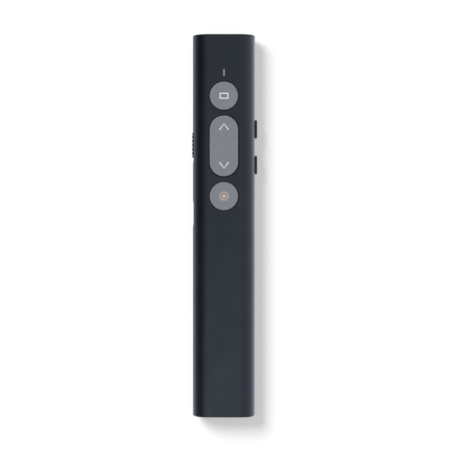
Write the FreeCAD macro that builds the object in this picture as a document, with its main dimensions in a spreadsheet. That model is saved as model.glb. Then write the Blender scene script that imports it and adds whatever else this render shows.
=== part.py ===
import FreeCAD, Part
import Sketcher
import math
import os
from types import SimpleNamespace

# A slim wireless presentation clicker: a flattened aluminium sleeve with a plastic cap in each end,
# three keys on the front, two keys on the right edge, a power slide and a charging port on the left,
# a laser behind the nose and a receiver that pulls out of the tail.
# Lengths are in millimetres. The origin is the middle of the flat back. +X is right, +Y is the nose
# and +Z is the front, where the keys are.

sizes = {
    # sleeve
    "body_long": 155.4,
    "body_wide": 25.5,
    "wall": 1.3,
    "end_bevel": 0.35,
    "rim_bevel": 0.15,
    # clearances and cuts
    "overrun": 1.0,
    "fit": 0.1,
    "tray_fit": 0.15,
    "touch_gap": 0.02,
    # places along the body
    "light_room": 3.3,
    "light_spacing": 3.7,
    "key_spacing": 2.25,
    "side_keys_offset": 0.2,
    "side_key_pitch": 14.6,
    "switch_offset": 0.4,
    "port_offset": 6.85,
    # round keys
    "key_margin": 0.75,
    "key_gap": 0.15,
    "key_proud": 0.1,
    "key_skin": 1.1,
    "key_rim": 1.2,
    "key_bevel": 0.2,
    "flange_reach": 0.8,
    "flange_thick": 0.8,
    "stop_long": 3.4,
    "flange_gap": 0.1,
    "key_room": 0.97,
    "stem_wide": 2.4,
    "rib_thick": 0.8,
    # rocker key
    "rocker_margin": 0.7,
    "rocker_long": 24.7,
    "rocker_gap": 0.25,
    "stem_inset": 4.35,
    "pivot_wide": 1.2,
    "pivot_fit": 0.06,
    "pivot_rise": 0.75,
    "lug_long": 2.4,
    "lug_thick": 0.9,
    "lug_tall": 1.3,
    "ear_gap": 0.15,
    "ear_thick": 0.95,
    "ear_long": 3.4,
    "ear_cover": 0.45,
    # snap domes
    "dome_wide": 5.0,
    "dome_tall": 0.35,
    "dome_thick": 0.1,
    # light
    "slit_wide": 0.85,
    "slit_long": 3.0,
    "pipe_gap": 0.05,
    "pipe_drop": 0.1,
    "pipe_flange_wide": 2.0,
    "pipe_flange_long": 4.6,
    "pipe_flange_thick": 0.7,
    "pipe_stem_wide": 1.1,
    "pipe_stem_long": 2.6,
    "led_wide": 0.8,
    "led_long": 1.6,
    "led_tall": 0.6,
    # side keys and their switches
    "side_key_long": 7.7,
    "side_key_tall": 2.6,
    "side_key_proud": 0.8,
    "side_key_gap": 0.15,
    "side_key_bevel": 0.25,
    "side_flange_reach": 0.6,
    "side_flange_thick": 0.7,
    "side_flange_seat": 0.6,
    "side_switch_wide": 3.1,
    "side_switch_long": 4.5,
    "side_switch_inset": 0.6,
    "plunger_long": 1.6,
    "plunger_tall": 1.2,
    "plunger_hold": 0.45,
    "plunger_well": 0.9,
    # power slide
    "knob_long": 10.2,
    "knob_tall": 3.4,
    "knob_travel": 2.0,
    "knob_proud": 0.33,
    "knob_gap": 0.3,
    "knob_plate_lap": 0.3,
    "knob_plate_thick": 0.8,
    "knob_plate_seat": 0.75,
    "groove_pitch": 1.7,
    "groove_wide": 0.75,
    "groove_deep": 0.3,
    "lever_long": 1.4,
    "lever_tall": 1.2,
    "lever_hold": 0.4,
    "lever_reach": 1.3,
    "switch_case_long": 8.6,
    "switch_case_wide": 3.0,
    "switch_case_inset": 0.6,
    # charging port
    "bezel_end": 0.73,
    "bezel_wall": 0.22,
    "port_inset": 0.6,
    "socket_long": 8.94,
    "socket_tall": 3.16,
    "socket_deep": 7.3,
    "socket_skin": 0.3,
    "socket_back": 0.8,
    "tongue_long": 6.69,
    "tongue_thick": 0.7,
    "tongue_drop": 1.2,
    "tongue_root": 1.0,
    "contact_wide": 0.25,
    "contact_pitch": 0.5,
    "contact_thick": 0.08,
    "contact_long": 3.2,
    "bezel_inset": 0.3,
    "bezel_flange_reach": 0.7,
    "bezel_flange_rise": 0.2,
    "bezel_flange_thick": 0.5,
    "bezel_flange_seat": 0.6,
    # circuit board and the frame over it
    "board_margin": 2.25,
    "board_thick": 1.0,
    "board_nose_reach": 2.3,
    "board_tail_reach": 13.1,
    "board_corner": 1.0,
    "tab_margin": 0.43,
    "tab_reach": 0.7,
    "guide_thick": 1.2,
    "guide_gap": 0.3,
    "guide_overhang": 0.5,
    "guide_setback": 2.0,
    "stem_hole_gap": 0.4,
    "post_wide": 3.4,
    "screw_inset": 1.8,
    "screw_setback": 4.5,
    "screw_wide": 1.6,
    "screw_hole_gap": 0.1,
    "screw_deep": 1.7,
    "head_wide": 2.6,
    "head_tall": 0.7,
    "drive_wide": 1.1,
    "drive_deep": 0.35,
    # tray
    "tray_gap": 0.2,
    "tray_floor": 1.0,
    "tray_end": 1.5,
    "saddle_wide": 8.6,
    "saddle_long": 6.0,
    "saddle_drop": 1.05,
    "saddle_setback": 0.6,
    "bulkhead_thick": 1.0,
    "bulkhead_gap": 0.37,
    # battery
    "battery_margin": 4.75,
    "battery_thick": 5.0,
    "battery_gap": 4.0,
    "battery_corner": 1.5,
    "pad_margin": 2.0,
    "pad_setback": 4.0,
    "pad_thick": 0.2,
    "trough_gap": 0.2,
    "lead_wide": 0.9,
    "lead_pitch": 2.0,
    "connector_wide": 5.0,
    "connector_long": 3.6,
    "connector_tall": 2.4,
    "connector_setback": 1.8,
    # chips on the board
    "processor_wide": 6.0,
    "processor_tall": 0.9,
    "crystal_wide": 2.5,
    "crystal_long": 3.2,
    "crystal_tall": 0.8,
    "crystal_gap": 0.75,
    "antenna_wide": 4.6,
    "antenna_long": 1.8,
    "antenna_tall": 1.2,
    "antenna_offset": 4.1,
    "antenna_setback": 0.5,
    "charger_wide": 3.0,
    "charger_tall": 0.8,
    "charger_offset": 2.0,
    "passive_wide": 0.5,
    "passive_long": 1.0,
    "passive_tall": 0.5,
    # nose
    "cap_inset": 0.2,
    "cap_plate": 1.6,
    "cap_wall": 1.2,
    "cap_bevel": 0.3,
    "nose_cap_long": 4.0,
    "aperture_wide": 5.0,
    "window_wide": 6.4,
    "window_thick": 0.8,
    # laser
    "barrel_wide": 6.0,
    "barrel_long": 9.5,
    "barrel_gap": 0.2,
    "bore_wide": 4.8,
    "lens_thick": 1.2,
    "lens_inset": 0.2,
    "diode_flange": 0.8,
    "diode_can_wide": 3.4,
    "diode_can_long": 1.8,
    "diode_seat": 3.0,
    "diode_lead_wide": 0.45,
    "diode_lead_long": 2.0,
    "diode_lead_circle": 2.0,
    # tail and receiver
    "bay_gap": 0.2,
    "grip_margin": 5.25,
    "grip_tall": 6.4,
    "grip_long": 6.4,
    "grip_corner": 1.4,
    "grip_bevel": 0.35,
    "nail_wide": 9.0,
    "nail_tall": 0.9,
    "nail_deep": 3.0,
    "nail_groove_wide": 0.8,
    "nail_groove_deep": 0.4,
    "nail_groove_setback": 1.0,
    "plug_wide": 12.0,
    "plug_tall": 4.5,
    "plug_long": 12.0,
    "plug_skin": 0.3,
    "plug_corner": 0.5,
    "latch_wide": 2.0,
    "latch_setback": 4.2,
    "latch_pitch": 4.6,
    "plug_tongue_tall": 1.9,
    "plug_tongue_inset": 0.4,
    "plug_contact_wide": 1.0,
    "plug_contact_long": 8.0,
    "plug_contact_thick": 0.1,
    "plug_contact_pitch": 2.3,
    "magnet_wide": 5.0,
    "magnet_thick": 1.5,
    "magnet_wall": 1.2,
}


class Size:
    """A length: its value now, and the formula on the sheet that keeps it up to date."""

    def __init__(self, value, formula):
        self.value = value
        self.formula = formula

    def __add__(self, other):
        other = as_size(other)
        return Size(self.value + other.value, f"({self.formula} + {other.formula})")

    def __sub__(self, other):
        other = as_size(other)
        return Size(self.value - other.value, f"({self.formula} - {other.formula})")

    def __mul__(self, other):
        other = as_size(other)
        return Size(self.value * other.value, f"({self.formula} * {other.formula})")

    def __truediv__(self, other):
        other = as_size(other)
        return Size(self.value / other.value, f"({self.formula} / {other.formula})")

    def __neg__(self):
        return Size(-self.value, f"(-1 * {self.formula})")


def as_size(item):
    return item if isinstance(item, Size) else Size(float(item), str(item))


doc = FreeCAD.newDocument("Clicker")
sheet = doc.addObject("Spreadsheet::Sheet", "Sizes")
for row, (name, number) in enumerate(sizes.items(), 1):
    sheet.set(f"A{row}", name)
    sheet.set(f"B{row}", str(number))
    sheet.setAlias(f"B{row}", name)
doc.recompute()
s = SimpleNamespace(**{name: Size(number, f"Sizes.{name}") for name, number in sizes.items()})

worked_out = doc.addObject("App::VarSet", "WorkedOut")


def derive(name, size):
    """Keeps a worked-out size in the document under its own name, so that formulas stay short."""
    worked_out.addProperty("App::PropertyFloat", name)
    worked_out.setExpression(name, size.formula)
    return Size(size.value, f"WorkedOut.{name}")


# Heights, counted up from the flat back. The sleeve is as thick as what it holds.
mid = derive("mid", s.wall + s.flange_gap + s.flange_thick + s.key_room + s.guide_thick
             + s.guide_gap + s.socket_tall / 2)
body_thick = derive("body_thick", mid * 2)
inner_front = derive("inner_front", body_thick - s.wall)
board_top = derive("board_top", mid - s.socket_tall / 2)
board_bottom = derive("board_bottom", board_top - s.board_thick)
stem_bottom = derive("stem_bottom", board_top + s.dome_tall + s.touch_gap)
guide_bottom = derive("guide_bottom", mid + s.socket_tall / 2 + s.guide_gap)
guide_top = derive("guide_top", guide_bottom + s.guide_thick)
pivot_height = derive("pivot_height", guide_top + s.pivot_rise)
flange_top = derive("flange_top", inner_front - s.flange_gap)
flange_bottom = derive("flange_bottom", flange_top - s.flange_thick)
key_top = derive("key_top", body_thick + s.key_proud)
tray_top = derive("tray_top", s.wall + s.tray_fit + s.tray_floor)

# Widths and distances sideways from the middle. The keys fill the flat between the round edges.
side = derive("side", s.body_wide / 2)
inner_side = derive("inner_side", side - s.wall)
key_wide = derive("key_wide", s.body_wide - body_thick - s.key_margin * 2)
rocker_wide = derive("rocker_wide", s.body_wide - body_thick - s.rocker_margin * 2)
knob_plate_side = derive("knob_plate_side", inner_side - s.knob_plate_seat)
flange_side = derive("flange_side", inner_side - s.side_flange_seat)
flange_inside = derive("flange_inside", flange_side - s.side_flange_thick)
board_wide = derive("board_wide", (inner_side - s.board_margin) * 2)
battery_wide = derive("battery_wide", s.body_wide - s.battery_margin * 2)
grip_wide = derive("grip_wide", s.body_wide - s.grip_margin * 2)

# Places along the body, counted from the nose towards the tail.
half_long = derive("half_long", s.body_long / 2)
barrel_front = derive("barrel_front", half_long - s.cap_inset - s.cap_plate - s.window_thick - s.barrel_gap)
light_place = derive("light_place", barrel_front - s.barrel_long - s.light_room)
blank_key_place = derive("blank_key_place", light_place - s.light_spacing - key_wide / 2)
rocker_place = derive("rocker_place", blank_key_place - key_wide / 2 - s.key_spacing - s.rocker_long / 2)
laser_key_place = derive("laser_key_place", rocker_place - s.rocker_long / 2 - s.key_spacing - key_wide / 2)
stem_reach = derive("stem_reach", s.rocker_long / 2 - s.stem_inset)
side_keys_place = derive("side_keys_place", rocker_place - s.side_keys_offset)
switch_place = derive("switch_place", rocker_place - s.switch_offset)
knob_place = derive("knob_place", switch_place + s.knob_travel / 2)
port_place = derive("port_place", laser_key_place - s.port_offset)
board_nose = derive("board_nose", light_place + s.board_nose_reach)
board_tail = derive("board_tail", port_place - s.board_tail_reach)
connector_tail = derive("connector_tail", board_tail + s.connector_setback)
tail_cap_long = derive("tail_cap_long", s.grip_long + s.plug_long + s.bay_gap + s.magnet_wall
                       + s.magnet_thick)
tray_nose = derive("tray_nose", half_long - s.cap_inset - s.nose_cap_long - s.tray_gap)
tray_tail = derive("tray_tail", s.cap_inset + tail_cap_long + s.tray_gap - half_long)
battery_nose = derive("battery_nose", board_tail - s.battery_gap)
battery_long = derive("battery_long", battery_nose - tray_tail - s.tray_end - s.trough_gap)
grip_end = derive("grip_end", s.cap_inset - half_long)
plug_root = derive("plug_root", grip_end + s.grip_long)

# The openings in the left edge.
knob_slot_long = derive("knob_slot_long", s.knob_long + s.knob_travel + s.knob_gap * 2)
knob_slot_tall = derive("knob_slot_tall", s.knob_tall + s.knob_gap * 2)
port_long = derive("port_long", s.socket_long + s.fit * 4 + s.bezel_end * 2)
port_tall = derive("port_tall", s.socket_tall + s.fit * 4 + s.bezel_wall * 2)

parts = {}
TINY = 1e-4  # as good as nothing, when lengths are compared


def bind(thing, name, length):
    """Ties a property to the sheet."""
    thing.setExpression(name, as_size(length).formula)


def place(thing, x, y, z):
    for letter, distance in zip("xyz", (x, y, z)):
        if isinstance(distance, Size):
            bind(thing, f"Placement.Base.{letter}", distance)


def new_body(label, x=0, y=0, z=0):
    body = doc.addObject("PartDesign::Body", label)
    body.Label = label
    place(body, x, y, z)
    parts[label] = body
    return body


def origin_plane(body, plane):
    return next(item for item in body.Origin.OriginFeatures if item.Role == f"{plane}_Plane")


def new_sketch(body, plane, at=0):
    """A sketch on one of the body's own planes, moved along the third axis to at."""
    sketch = body.newObject("Sketcher::SketchObject", "Sketch")
    sketch.AttachmentSupport = [(origin_plane(body, plane), "")]
    sketch.MapMode = "FlatFace"
    if isinstance(at, Size):
        bind(sketch, ".AttachmentOffset.Base.z", -at if plane == "XZ" else at)
    return sketch


def hold(sketch, length, kind, *places):
    """Adds one dimension to a sketch and ties it to the sheet."""
    number = sketch.addConstraint(Sketcher.Constraint(kind, *places, length.value))
    bind(sketch, f"Constraints[{number}]", length)


def pin_point(sketch, index, point, x, y):
    """Holds a point at x, y from the sketch's origin; zero puts it on the sketch's own axis."""
    for kind, distance, axis in (("DistanceX", x, -2), ("DistanceY", y, -1)):
        if isinstance(distance, Size):
            hold(sketch, distance, kind, -1, 1, index, point)
        else:
            sketch.addConstraint(Sketcher.Constraint("PointOnObject", index, point, axis))


def spot(x, y):
    return FreeCAD.Vector(as_size(x).value, as_size(y).value, 0)


def draw_outline(sketch, points):
    """A closed outline of straight lines."""
    first = sketch.GeometryCount
    count = len(points)
    for number, point in enumerate(points):
        sketch.addGeometry(Part.LineSegment(spot(*point), spot(*points[(number + 1) % count])), False)
    for number, point in enumerate(points):
        following = first + (number + 1) % count
        sketch.addConstraint(Sketcher.Constraint("Coincident", first + number, 2, following, 1))
        pin_point(sketch, first + number, 1, *point)


def draw_box(sketch, wide, tall, x=0, y=0):
    left, right = x - wide / 2 if isinstance(x, Size) else -(wide / 2), wide / 2 + x
    low, high = y - tall / 2 if isinstance(y, Size) else -(tall / 2), tall / 2 + y
    draw_outline(sketch, [(left, low), (right, low), (right, high), (left, high)])


def draw_circle(sketch, wide, x=0, y=0):
    circle = Part.Circle(spot(x, y), FreeCAD.Vector(0, 0, 1), wide.value / 2)
    index = sketch.addGeometry(circle, False)
    pin_point(sketch, index, 3, x, y)
    hold(sketch, wide, "Diameter", index)


def draw_round_box(sketch, wide, tall, radius, x=0, y=0):
    """A box with rounded corners, or a pill where the radius is half its lesser side."""
    reach, rise = wide / 2 - radius, tall / 2 - radius
    corners = [(reach, rise, 0), (-reach, rise, 90), (-reach, -rise, 180), (reach, -rise, 270)]
    centres = []
    for across, up, turn in corners:
        centres.append((across + x, up + y, turn))
    draw_arcs(sketch, radius, centres)


def draw_cut_box(sketch, wide, tall, cut, x=0, y=0):
    """A box whose corners are cut off straight."""
    reach, rise = wide / 2, tall / 2
    corners = [(reach, rise - cut), (reach - cut, rise), (cut - reach, rise), (-reach, rise - cut),
               (-reach, cut - rise), (cut - reach, -rise), (reach - cut, -rise), (reach, cut - rise)]
    points = []
    for across, up in corners:
        points.append((across + x, up + y))
    draw_outline(sketch, points)


def draw_pill(sketch, wide, tall, x=0, y=0, upright=False):
    """A slot shape with two round ends."""
    if upright:
        reach = (tall - wide) / 2
        draw_ends(sketch, wide / 2, [(x, reach + y, 0), (x, -reach + y, 180)])
    else:
        reach = (wide - tall) / 2
        draw_ends(sketch, tall / 2, [(-reach + x, y, 90), (reach + x, y, 270)])


def draw_ends(sketch, radius, centres):
    draw_arcs(sketch, radius, centres, sweep=180)


def draw_arcs(sketch, radius, centres, sweep=90):
    """Equal arcs round the given centres, joined by tangent lines, anticlockwise."""
    first = sketch.GeometryCount
    upward = FreeCAD.Vector(0, 0, 1)
    arcs = []
    for across, up, turn in centres:
        circle = Part.Circle(spot(across, up), upward, radius.value)
        arcs.append(Part.ArcOfCircle(circle, math.radians(turn), math.radians(turn + sweep)))
    for number, arc in enumerate(arcs):
        sketch.addGeometry(arc, False)
        sketch.addGeometry(Part.LineSegment(arc.EndPoint, arcs[(number + 1) % len(arcs)].StartPoint), False)
    for number, (across, up, turn) in enumerate(centres):
        arc = first + 2 * number
        following = first + (2 * number + 2) % (2 * len(centres))
        sketch.addConstraint(Sketcher.Constraint("Tangent", arc, 2, arc + 1, 1))
        sketch.addConstraint(Sketcher.Constraint("Tangent", arc + 1, 2, following, 1))
        pin_point(sketch, arc, 3, across, up)
        if number:
            sketch.addConstraint(Sketcher.Constraint("Equal", first, arc))
    hold(sketch, radius, "Radius", first)


def pad(body, sketch, length, both=False, backwards=False):
    feature = body.newObject("PartDesign::Pad", "Pad")
    feature.Profile = sketch
    bind(feature, "Length", length)
    feature.Midplane = both
    feature.Reversed = backwards
    return feature


def pocket(body, sketch, depth, both=False, backwards=False):
    feature = body.newObject("PartDesign::Pocket", "Pocket")
    feature.Profile = sketch
    bind(feature, "Length", depth)
    feature.Midplane = both
    feature.Reversed = backwards
    return feature


def revolve(body, sketch):
    """Turns a profile a full circle about the sketch's upright axis."""
    feature = body.newObject("PartDesign::Revolution", "Revolution")
    feature.Profile = sketch
    feature.ReferenceAxis = (sketch, ["V_Axis"])
    feature.Angle = 360
    return feature


def edges_where(feature, wanted):
    doc.recompute()
    return [f"Edge{number}" for number, edge in enumerate(feature.Shape.Edges, 1) if wanted(edge)]


def bevel_edges(body, feature, length, wanted):
    chamfer = body.newObject("PartDesign::Chamfer", "Chamfer")
    chamfer.Base = (feature, edges_where(feature, wanted))
    bind(chamfer, "Size", length)
    return chamfer


def near(number, length):
    return abs(number - as_size(length).value) < TINY


def flat_at(axis, level):
    """Picks the edges that lie in the plane where the axis has the given level."""
    return lambda edge: near(getattr(edge.BoundBox, axis + "Min"), level) and near(
        getattr(edge.BoundBox, axis + "Max"), level)


def block(label, wide, long, tall, x, y, z):
    """A plain block, given by the middle of its bottom face."""
    box = doc.addObject("Part::Box", label)
    box.Label = label
    bind(box, "Length", wide)
    bind(box, "Width", long)
    bind(box, "Height", tall)
    place(box, as_size(x) - wide / 2, as_size(y) - long / 2, z)
    parts[label] = box
    return box


def lying_rod(label, wide, long, x, y, z):
    """A round rod along the body, given by the middle of its tail end."""
    rod = doc.addObject("Part::Cylinder", label)
    rod.Label = label
    rod.Placement.Rotation = FreeCAD.Rotation(FreeCAD.Vector(1, 0, 0), -90)
    bind(rod, "Radius", wide / 2)
    bind(rod, "Height", long)
    place(rod, x, y, z)
    parts[label] = rod
    return rod


def sleeve():
    body = new_body("sleeve", z=mid)
    section = new_sketch(body, "XZ")
    draw_pill(section, s.body_wide, body_thick)
    draw_pill(section, s.body_wide - s.wall * 2, body_thick - s.wall * 2)
    tube = pad(body, section, s.body_long, both=True)

    def outer_end(edge):
        box = edge.BoundBox
        return near(box.YLength, 0) and (near(box.ZMax, mid) or near(box.ZMin, -mid))

    bevel_edges(body, tube, s.end_bevel, outer_end)
    front = new_sketch(body, "XY", mid + s.overrun)
    for key_place in (blank_key_place, laser_key_place):
        draw_circle(front, key_wide + s.key_gap * 2, y=key_place)
    draw_pill(front, rocker_wide + s.rocker_gap * 2, s.rocker_long + s.rocker_gap * 2,
              y=rocker_place, upright=True)
    windows = pocket(body, front, s.wall + s.overrun * 2)
    widest = (rocker_wide / 2 + s.rocker_gap).value

    def window_rim(edge):
        box = edge.BoundBox
        return flat_at("Z", mid)(edge) and max(-box.XMin, box.XMax) <= widest + TINY

    bevel_edges(body, windows, s.rim_bevel, window_rim)
    slit = new_sketch(body, "XY", mid + s.overrun)
    draw_pill(slit, s.slit_wide, s.slit_long, y=light_place, upright=True)
    pocket(body, slit, s.wall + s.overrun * 2)
    right = new_sketch(body, "YZ", side + s.overrun)
    for key_place in side_key_places():
        draw_pill(right, s.side_key_long + s.side_key_gap * 2, s.side_key_tall + s.side_key_gap * 2,
                  x=key_place)
    pocket(body, right, s.wall * 2 + s.overrun)
    left = new_sketch(body, "YZ", -side - s.overrun)
    draw_pill(left, knob_slot_long, knob_slot_tall, x=switch_place)
    draw_pill(left, port_long, port_tall, x=port_place)
    pocket(body, left, s.wall * 2 + s.overrun, backwards=True)


def side_key_places():
    return [side_keys_place + s.side_key_pitch / 2, side_keys_place - s.side_key_pitch / 2]


def nose_cap():
    body = new_body("nose_cap", y=half_long, z=mid)
    wide = s.body_wide - s.wall * 2 - s.fit * 2
    tall = body_thick - s.wall * 2 - s.fit * 2
    section = new_sketch(body, "XZ", -s.cap_inset)
    draw_pill(section, wide, tall)
    plug = pad(body, section, s.nose_cap_long)
    bevel_edges(body, plug, s.cap_bevel, flat_at("Y", -s.cap_inset))
    hollow = new_sketch(body, "XZ", -s.cap_inset - s.nose_cap_long)
    draw_pill(hollow, wide - s.cap_wall * 2, tall - s.cap_wall * 2)
    pocket(body, hollow, s.nose_cap_long - s.cap_plate)
    aperture = new_sketch(body, "XZ", -s.cap_inset - s.cap_plate)
    draw_circle(aperture, s.aperture_wide)
    pocket(body, aperture, s.cap_plate + s.overrun)


def nose_window():
    """The window is bonded behind the cap's end plate."""
    plate_back = half_long - s.cap_inset - s.cap_plate
    lying_rod("nose_window", s.window_wide, s.window_thick, 0, plate_back - s.window_thick, mid)


def tail_cap():
    body = new_body("tail_cap", y=-half_long, z=mid)
    section = new_sketch(body, "XZ", s.cap_inset)
    draw_pill(section, s.body_wide - s.wall * 2 - s.fit * 2, body_thick - s.wall * 2 - s.fit * 2)
    plug = pad(body, section, tail_cap_long, backwards=True)
    bevel_edges(body, plug, s.cap_bevel, flat_at("Y", s.cap_inset))
    bay = new_sketch(body, "XZ", s.cap_inset)
    draw_round_box(bay, grip_wide + s.bay_gap * 2, s.grip_tall + s.bay_gap * 2, s.grip_corner)
    pocket(body, bay, s.grip_long + s.bay_gap)
    nest = new_sketch(body, "XZ", s.cap_inset)
    draw_cut_box(nest, s.plug_wide + s.bay_gap * 2, s.plug_tall + s.bay_gap * 2, s.plug_corner)
    pocket(body, nest, s.grip_long + s.plug_long + s.bay_gap)
    nail = new_sketch(body, "XZ", s.cap_inset)
    draw_round_box(nail, s.nail_wide, s.grip_tall + s.nail_tall * 2, s.nail_tall)
    pocket(body, nail, s.nail_deep)
    magnet = new_sketch(body, "XZ", s.cap_inset + tail_cap_long)
    draw_box(magnet, s.magnet_wide + s.fit * 2, s.magnet_wide + s.fit * 2)
    pocket(body, magnet, s.magnet_thick, backwards=True)


def receiver_magnet():
    tail_cap_end = s.cap_inset + tail_cap_long - half_long
    block("receiver_magnet", s.magnet_wide, s.magnet_thick, s.magnet_wide,
          0, tail_cap_end - s.magnet_thick / 2, mid - s.magnet_wide / 2)


def laser_barrel():
    body = new_body("laser_barrel", y=barrel_front, z=mid)
    profile = new_sketch(body, "XY")
    outer, bore = s.barrel_wide / 2, s.bore_wide / 2
    draw_outline(profile, [(bore, 0), (outer, 0), (outer, -s.barrel_long), (bore, -s.barrel_long)])
    revolve(body, profile)


def laser_lens():
    tail_face = barrel_front - s.lens_inset - s.lens_thick
    lying_rod("laser_lens", s.bore_wide - s.fit, s.lens_thick, 0, tail_face, mid)


def laser_diode():
    body = new_body("laser_diode", y=barrel_front - s.barrel_long + s.diode_seat, z=mid)
    profile = new_sketch(body, "XY")
    can, rim = s.diode_can_wide / 2, (s.bore_wide - s.fit) / 2
    draw_outline(profile, [
        (0, 0), (can, 0), (can, -s.diode_can_long), (rim, -s.diode_can_long),
        (rim, -s.diode_can_long - s.diode_flange), (0, -s.diode_can_long - s.diode_flange)])
    revolve(body, profile)
    legs = new_sketch(body, "XZ", -s.diode_can_long - s.diode_flange)
    reach = s.diode_lead_circle / 2
    draw_box(legs, s.diode_lead_wide, s.diode_lead_wide, x=reach)
    draw_box(legs, s.diode_lead_wide, s.diode_lead_wide, x=-reach)
    draw_box(legs, s.diode_lead_wide, s.diode_lead_wide, y=reach)
    pad(body, legs, s.diode_lead_long)


def post_places():
    across = board_wide / 2 - s.screw_inset
    nose, tail = board_nose - s.screw_setback, board_tail + s.screw_setback
    return [(across, nose), (-across, tail), (-across, nose), (across, tail)]


def screw_places():
    """Two of the four posts take a screw, one at each end."""
    return post_places()[:2]


def chassis():
    body = new_body("chassis", z=mid)
    section = new_sketch(body, "XZ", tray_nose)
    clear = (s.wall + s.tray_fit) * 2
    draw_pill(section, s.body_wide - clear, body_thick - clear)
    pad(body, section, tray_nose - tray_tail)
    tray_long = tray_nose - tray_tail
    tray_centre = (tray_nose + tray_tail) / 2
    upper = new_sketch(body, "XY", mid)
    draw_box(upper, s.body_wide, tray_long + s.overrun * 2, y=tray_centre)
    pocket(body, upper, body_thick - board_bottom)
    trough = new_sketch(body, "XY", board_bottom - mid)
    draw_box(trough, battery_wide + s.trough_gap * 2, tray_long - s.tray_end * 2, y=tray_centre)
    pocket(body, trough, board_bottom - tray_top)
    bosses = new_sketch(body, "XY", tray_top - mid)
    for x, y in post_places():
        draw_box(bosses, s.post_wide, s.post_wide, x, y)
    pad(body, bosses, board_bottom - tray_top)
    holes = new_sketch(body, "XY", board_bottom - mid)
    for x, y in screw_places():
        draw_circle(holes, s.screw_wide + s.screw_hole_gap, x, y)
    pocket(body, holes, s.screw_deep + s.screw_hole_gap)
    bulkhead = new_sketch(body, "XY", tray_top - mid)
    draw_box(bulkhead, battery_wide + s.trough_gap * 2, s.bulkhead_thick,
             y=battery_nose + s.trough_gap + s.bulkhead_thick / 2 + s.lead_wide)
    leads_bottom = board_top + s.connector_tall / 2 - s.lead_wide / 2
    pad(body, bulkhead, leads_bottom - s.bulkhead_gap - tray_top)
    saddle = new_sketch(body, "XY", tray_top - mid)
    saddle_place = tray_nose - s.saddle_setback - s.saddle_long / 2
    draw_box(saddle, s.saddle_wide, s.saddle_long, y=saddle_place)
    pad(body, saddle, mid - s.saddle_drop - tray_top)
    cradle = new_sketch(body, "XZ", tray_nose + s.overrun)
    draw_circle(cradle, s.barrel_wide + s.fit)
    pocket(body, cradle, s.saddle_long + s.saddle_setback + s.overrun * 2, backwards=True)


def main_board():
    body = new_body("main_board", z=board_bottom)
    outline = new_sketch(body, "XY")
    long = board_nose - board_tail
    draw_cut_box(outline, board_wide, long, s.board_corner, y=board_tail + long / 2)
    for x, y in screw_places():
        draw_circle(outline, s.screw_wide + s.screw_hole_gap * 4, x, y)
    pad(body, outline, s.board_thick)
    tab = new_sketch(body, "XY")
    draw_box(tab, s.tab_reach * 2, s.socket_long + s.tab_margin * 2, x=-board_wide / 2, y=port_place)
    pad(body, tab, s.board_thick)


def tapered(low_wide, high_wide, along, low, tall):
    """A square block that narrows upwards."""
    taper = doc.addObject("Part::Wedge", "Taper")
    taper.Placement.Rotation = FreeCAD.Rotation(FreeCAD.Vector(1, 0, 0), 90)
    place(taper, 0, along, low)
    taper.Ymin = 0
    bind(taper, "Ymax", tall)
    for axis in "XZ":
        bind(taper, f"{axis}min", -low_wide / 2)
        bind(taper, f"{axis}max", low_wide / 2)
        bind(taper, f"{axis}2min", -high_wide / 2)
        bind(taper, f"{axis}2max", high_wide / 2)
    return taper


def snap_domes():
    """A sprung metal dome with four legs under each place that a key presses."""
    places = {
        "blank_key_dome": blank_key_place,
        "page_forward_dome": rocker_place + stem_reach,
        "page_back_dome": rocker_place - stem_reach,
        "laser_key_dome": laser_key_place,
    }
    crown_share = 0.45
    crown = s.dome_wide * crown_share
    for label, along in places.items():
        dome = doc.addObject("Part::Cut", label)
        dome.Base = tapered(s.dome_wide, crown, along, board_top, s.dome_tall)
        dome.Tool = tapered(s.dome_wide - s.dome_thick * 2, crown, along, board_top,
                            s.dome_tall - s.dome_thick)
        dome.Label = label
        parts[label] = dome


def key_guide():
    body = new_body("key_guide", z=guide_bottom)
    plate = new_sketch(body, "XY")
    nose, tail = board_nose + s.guide_overhang, board_tail + s.guide_setback
    draw_cut_box(plate, board_wide, nose - tail, s.board_corner, y=(nose + tail) / 2)
    stems = (blank_key_place, laser_key_place, rocker_place + stem_reach,
             rocker_place - stem_reach)
    hole = s.stem_wide + s.stem_hole_gap * 2
    for along in stems:
        draw_box(plate, hole, hole, y=along)
    draw_box(plate, s.pipe_stem_wide + s.fit * 2, s.pipe_stem_long + s.fit * 2, y=light_place)
    pad(body, plate, s.guide_thick)
    posts = new_sketch(body, "XY")
    for x, y in post_places():
        draw_box(posts, s.post_wide, s.post_wide, x, y)
    pad(body, posts, guide_bottom - board_top, backwards=True)
    ears = new_sketch(body, "XY", s.guide_thick)
    ear_side = rocker_wide / 2 + s.lug_thick + s.ear_gap + s.ear_thick / 2
    for x in (ear_side, -ear_side):
        draw_box(ears, s.ear_thick, s.ear_long, x, rocker_place)
    pad(body, ears, s.pivot_rise + s.ear_cover)
    bearings = new_sketch(body, "YZ")
    draw_circle(bearings, s.pivot_wide + s.pivot_fit * 2, rocker_place, s.guide_thick + s.pivot_rise)
    pocket(body, bearings, s.body_wide, both=True)
    mouths = new_sketch(body, "YZ")
    draw_box(mouths, s.pivot_wide - s.pivot_fit * 2, s.pivot_wide + s.overrun,
             rocker_place, s.guide_thick + s.pivot_rise + (s.pivot_wide + s.overrun) / 2)
    pocket(body, mouths, s.body_wide, both=True)
    holes = new_sketch(body, "XY", s.guide_thick)
    for x, y in screw_places():
        draw_circle(holes, s.screw_wide + s.screw_hole_gap * 2, x, y)
    pocket(body, holes, body_thick)


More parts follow.
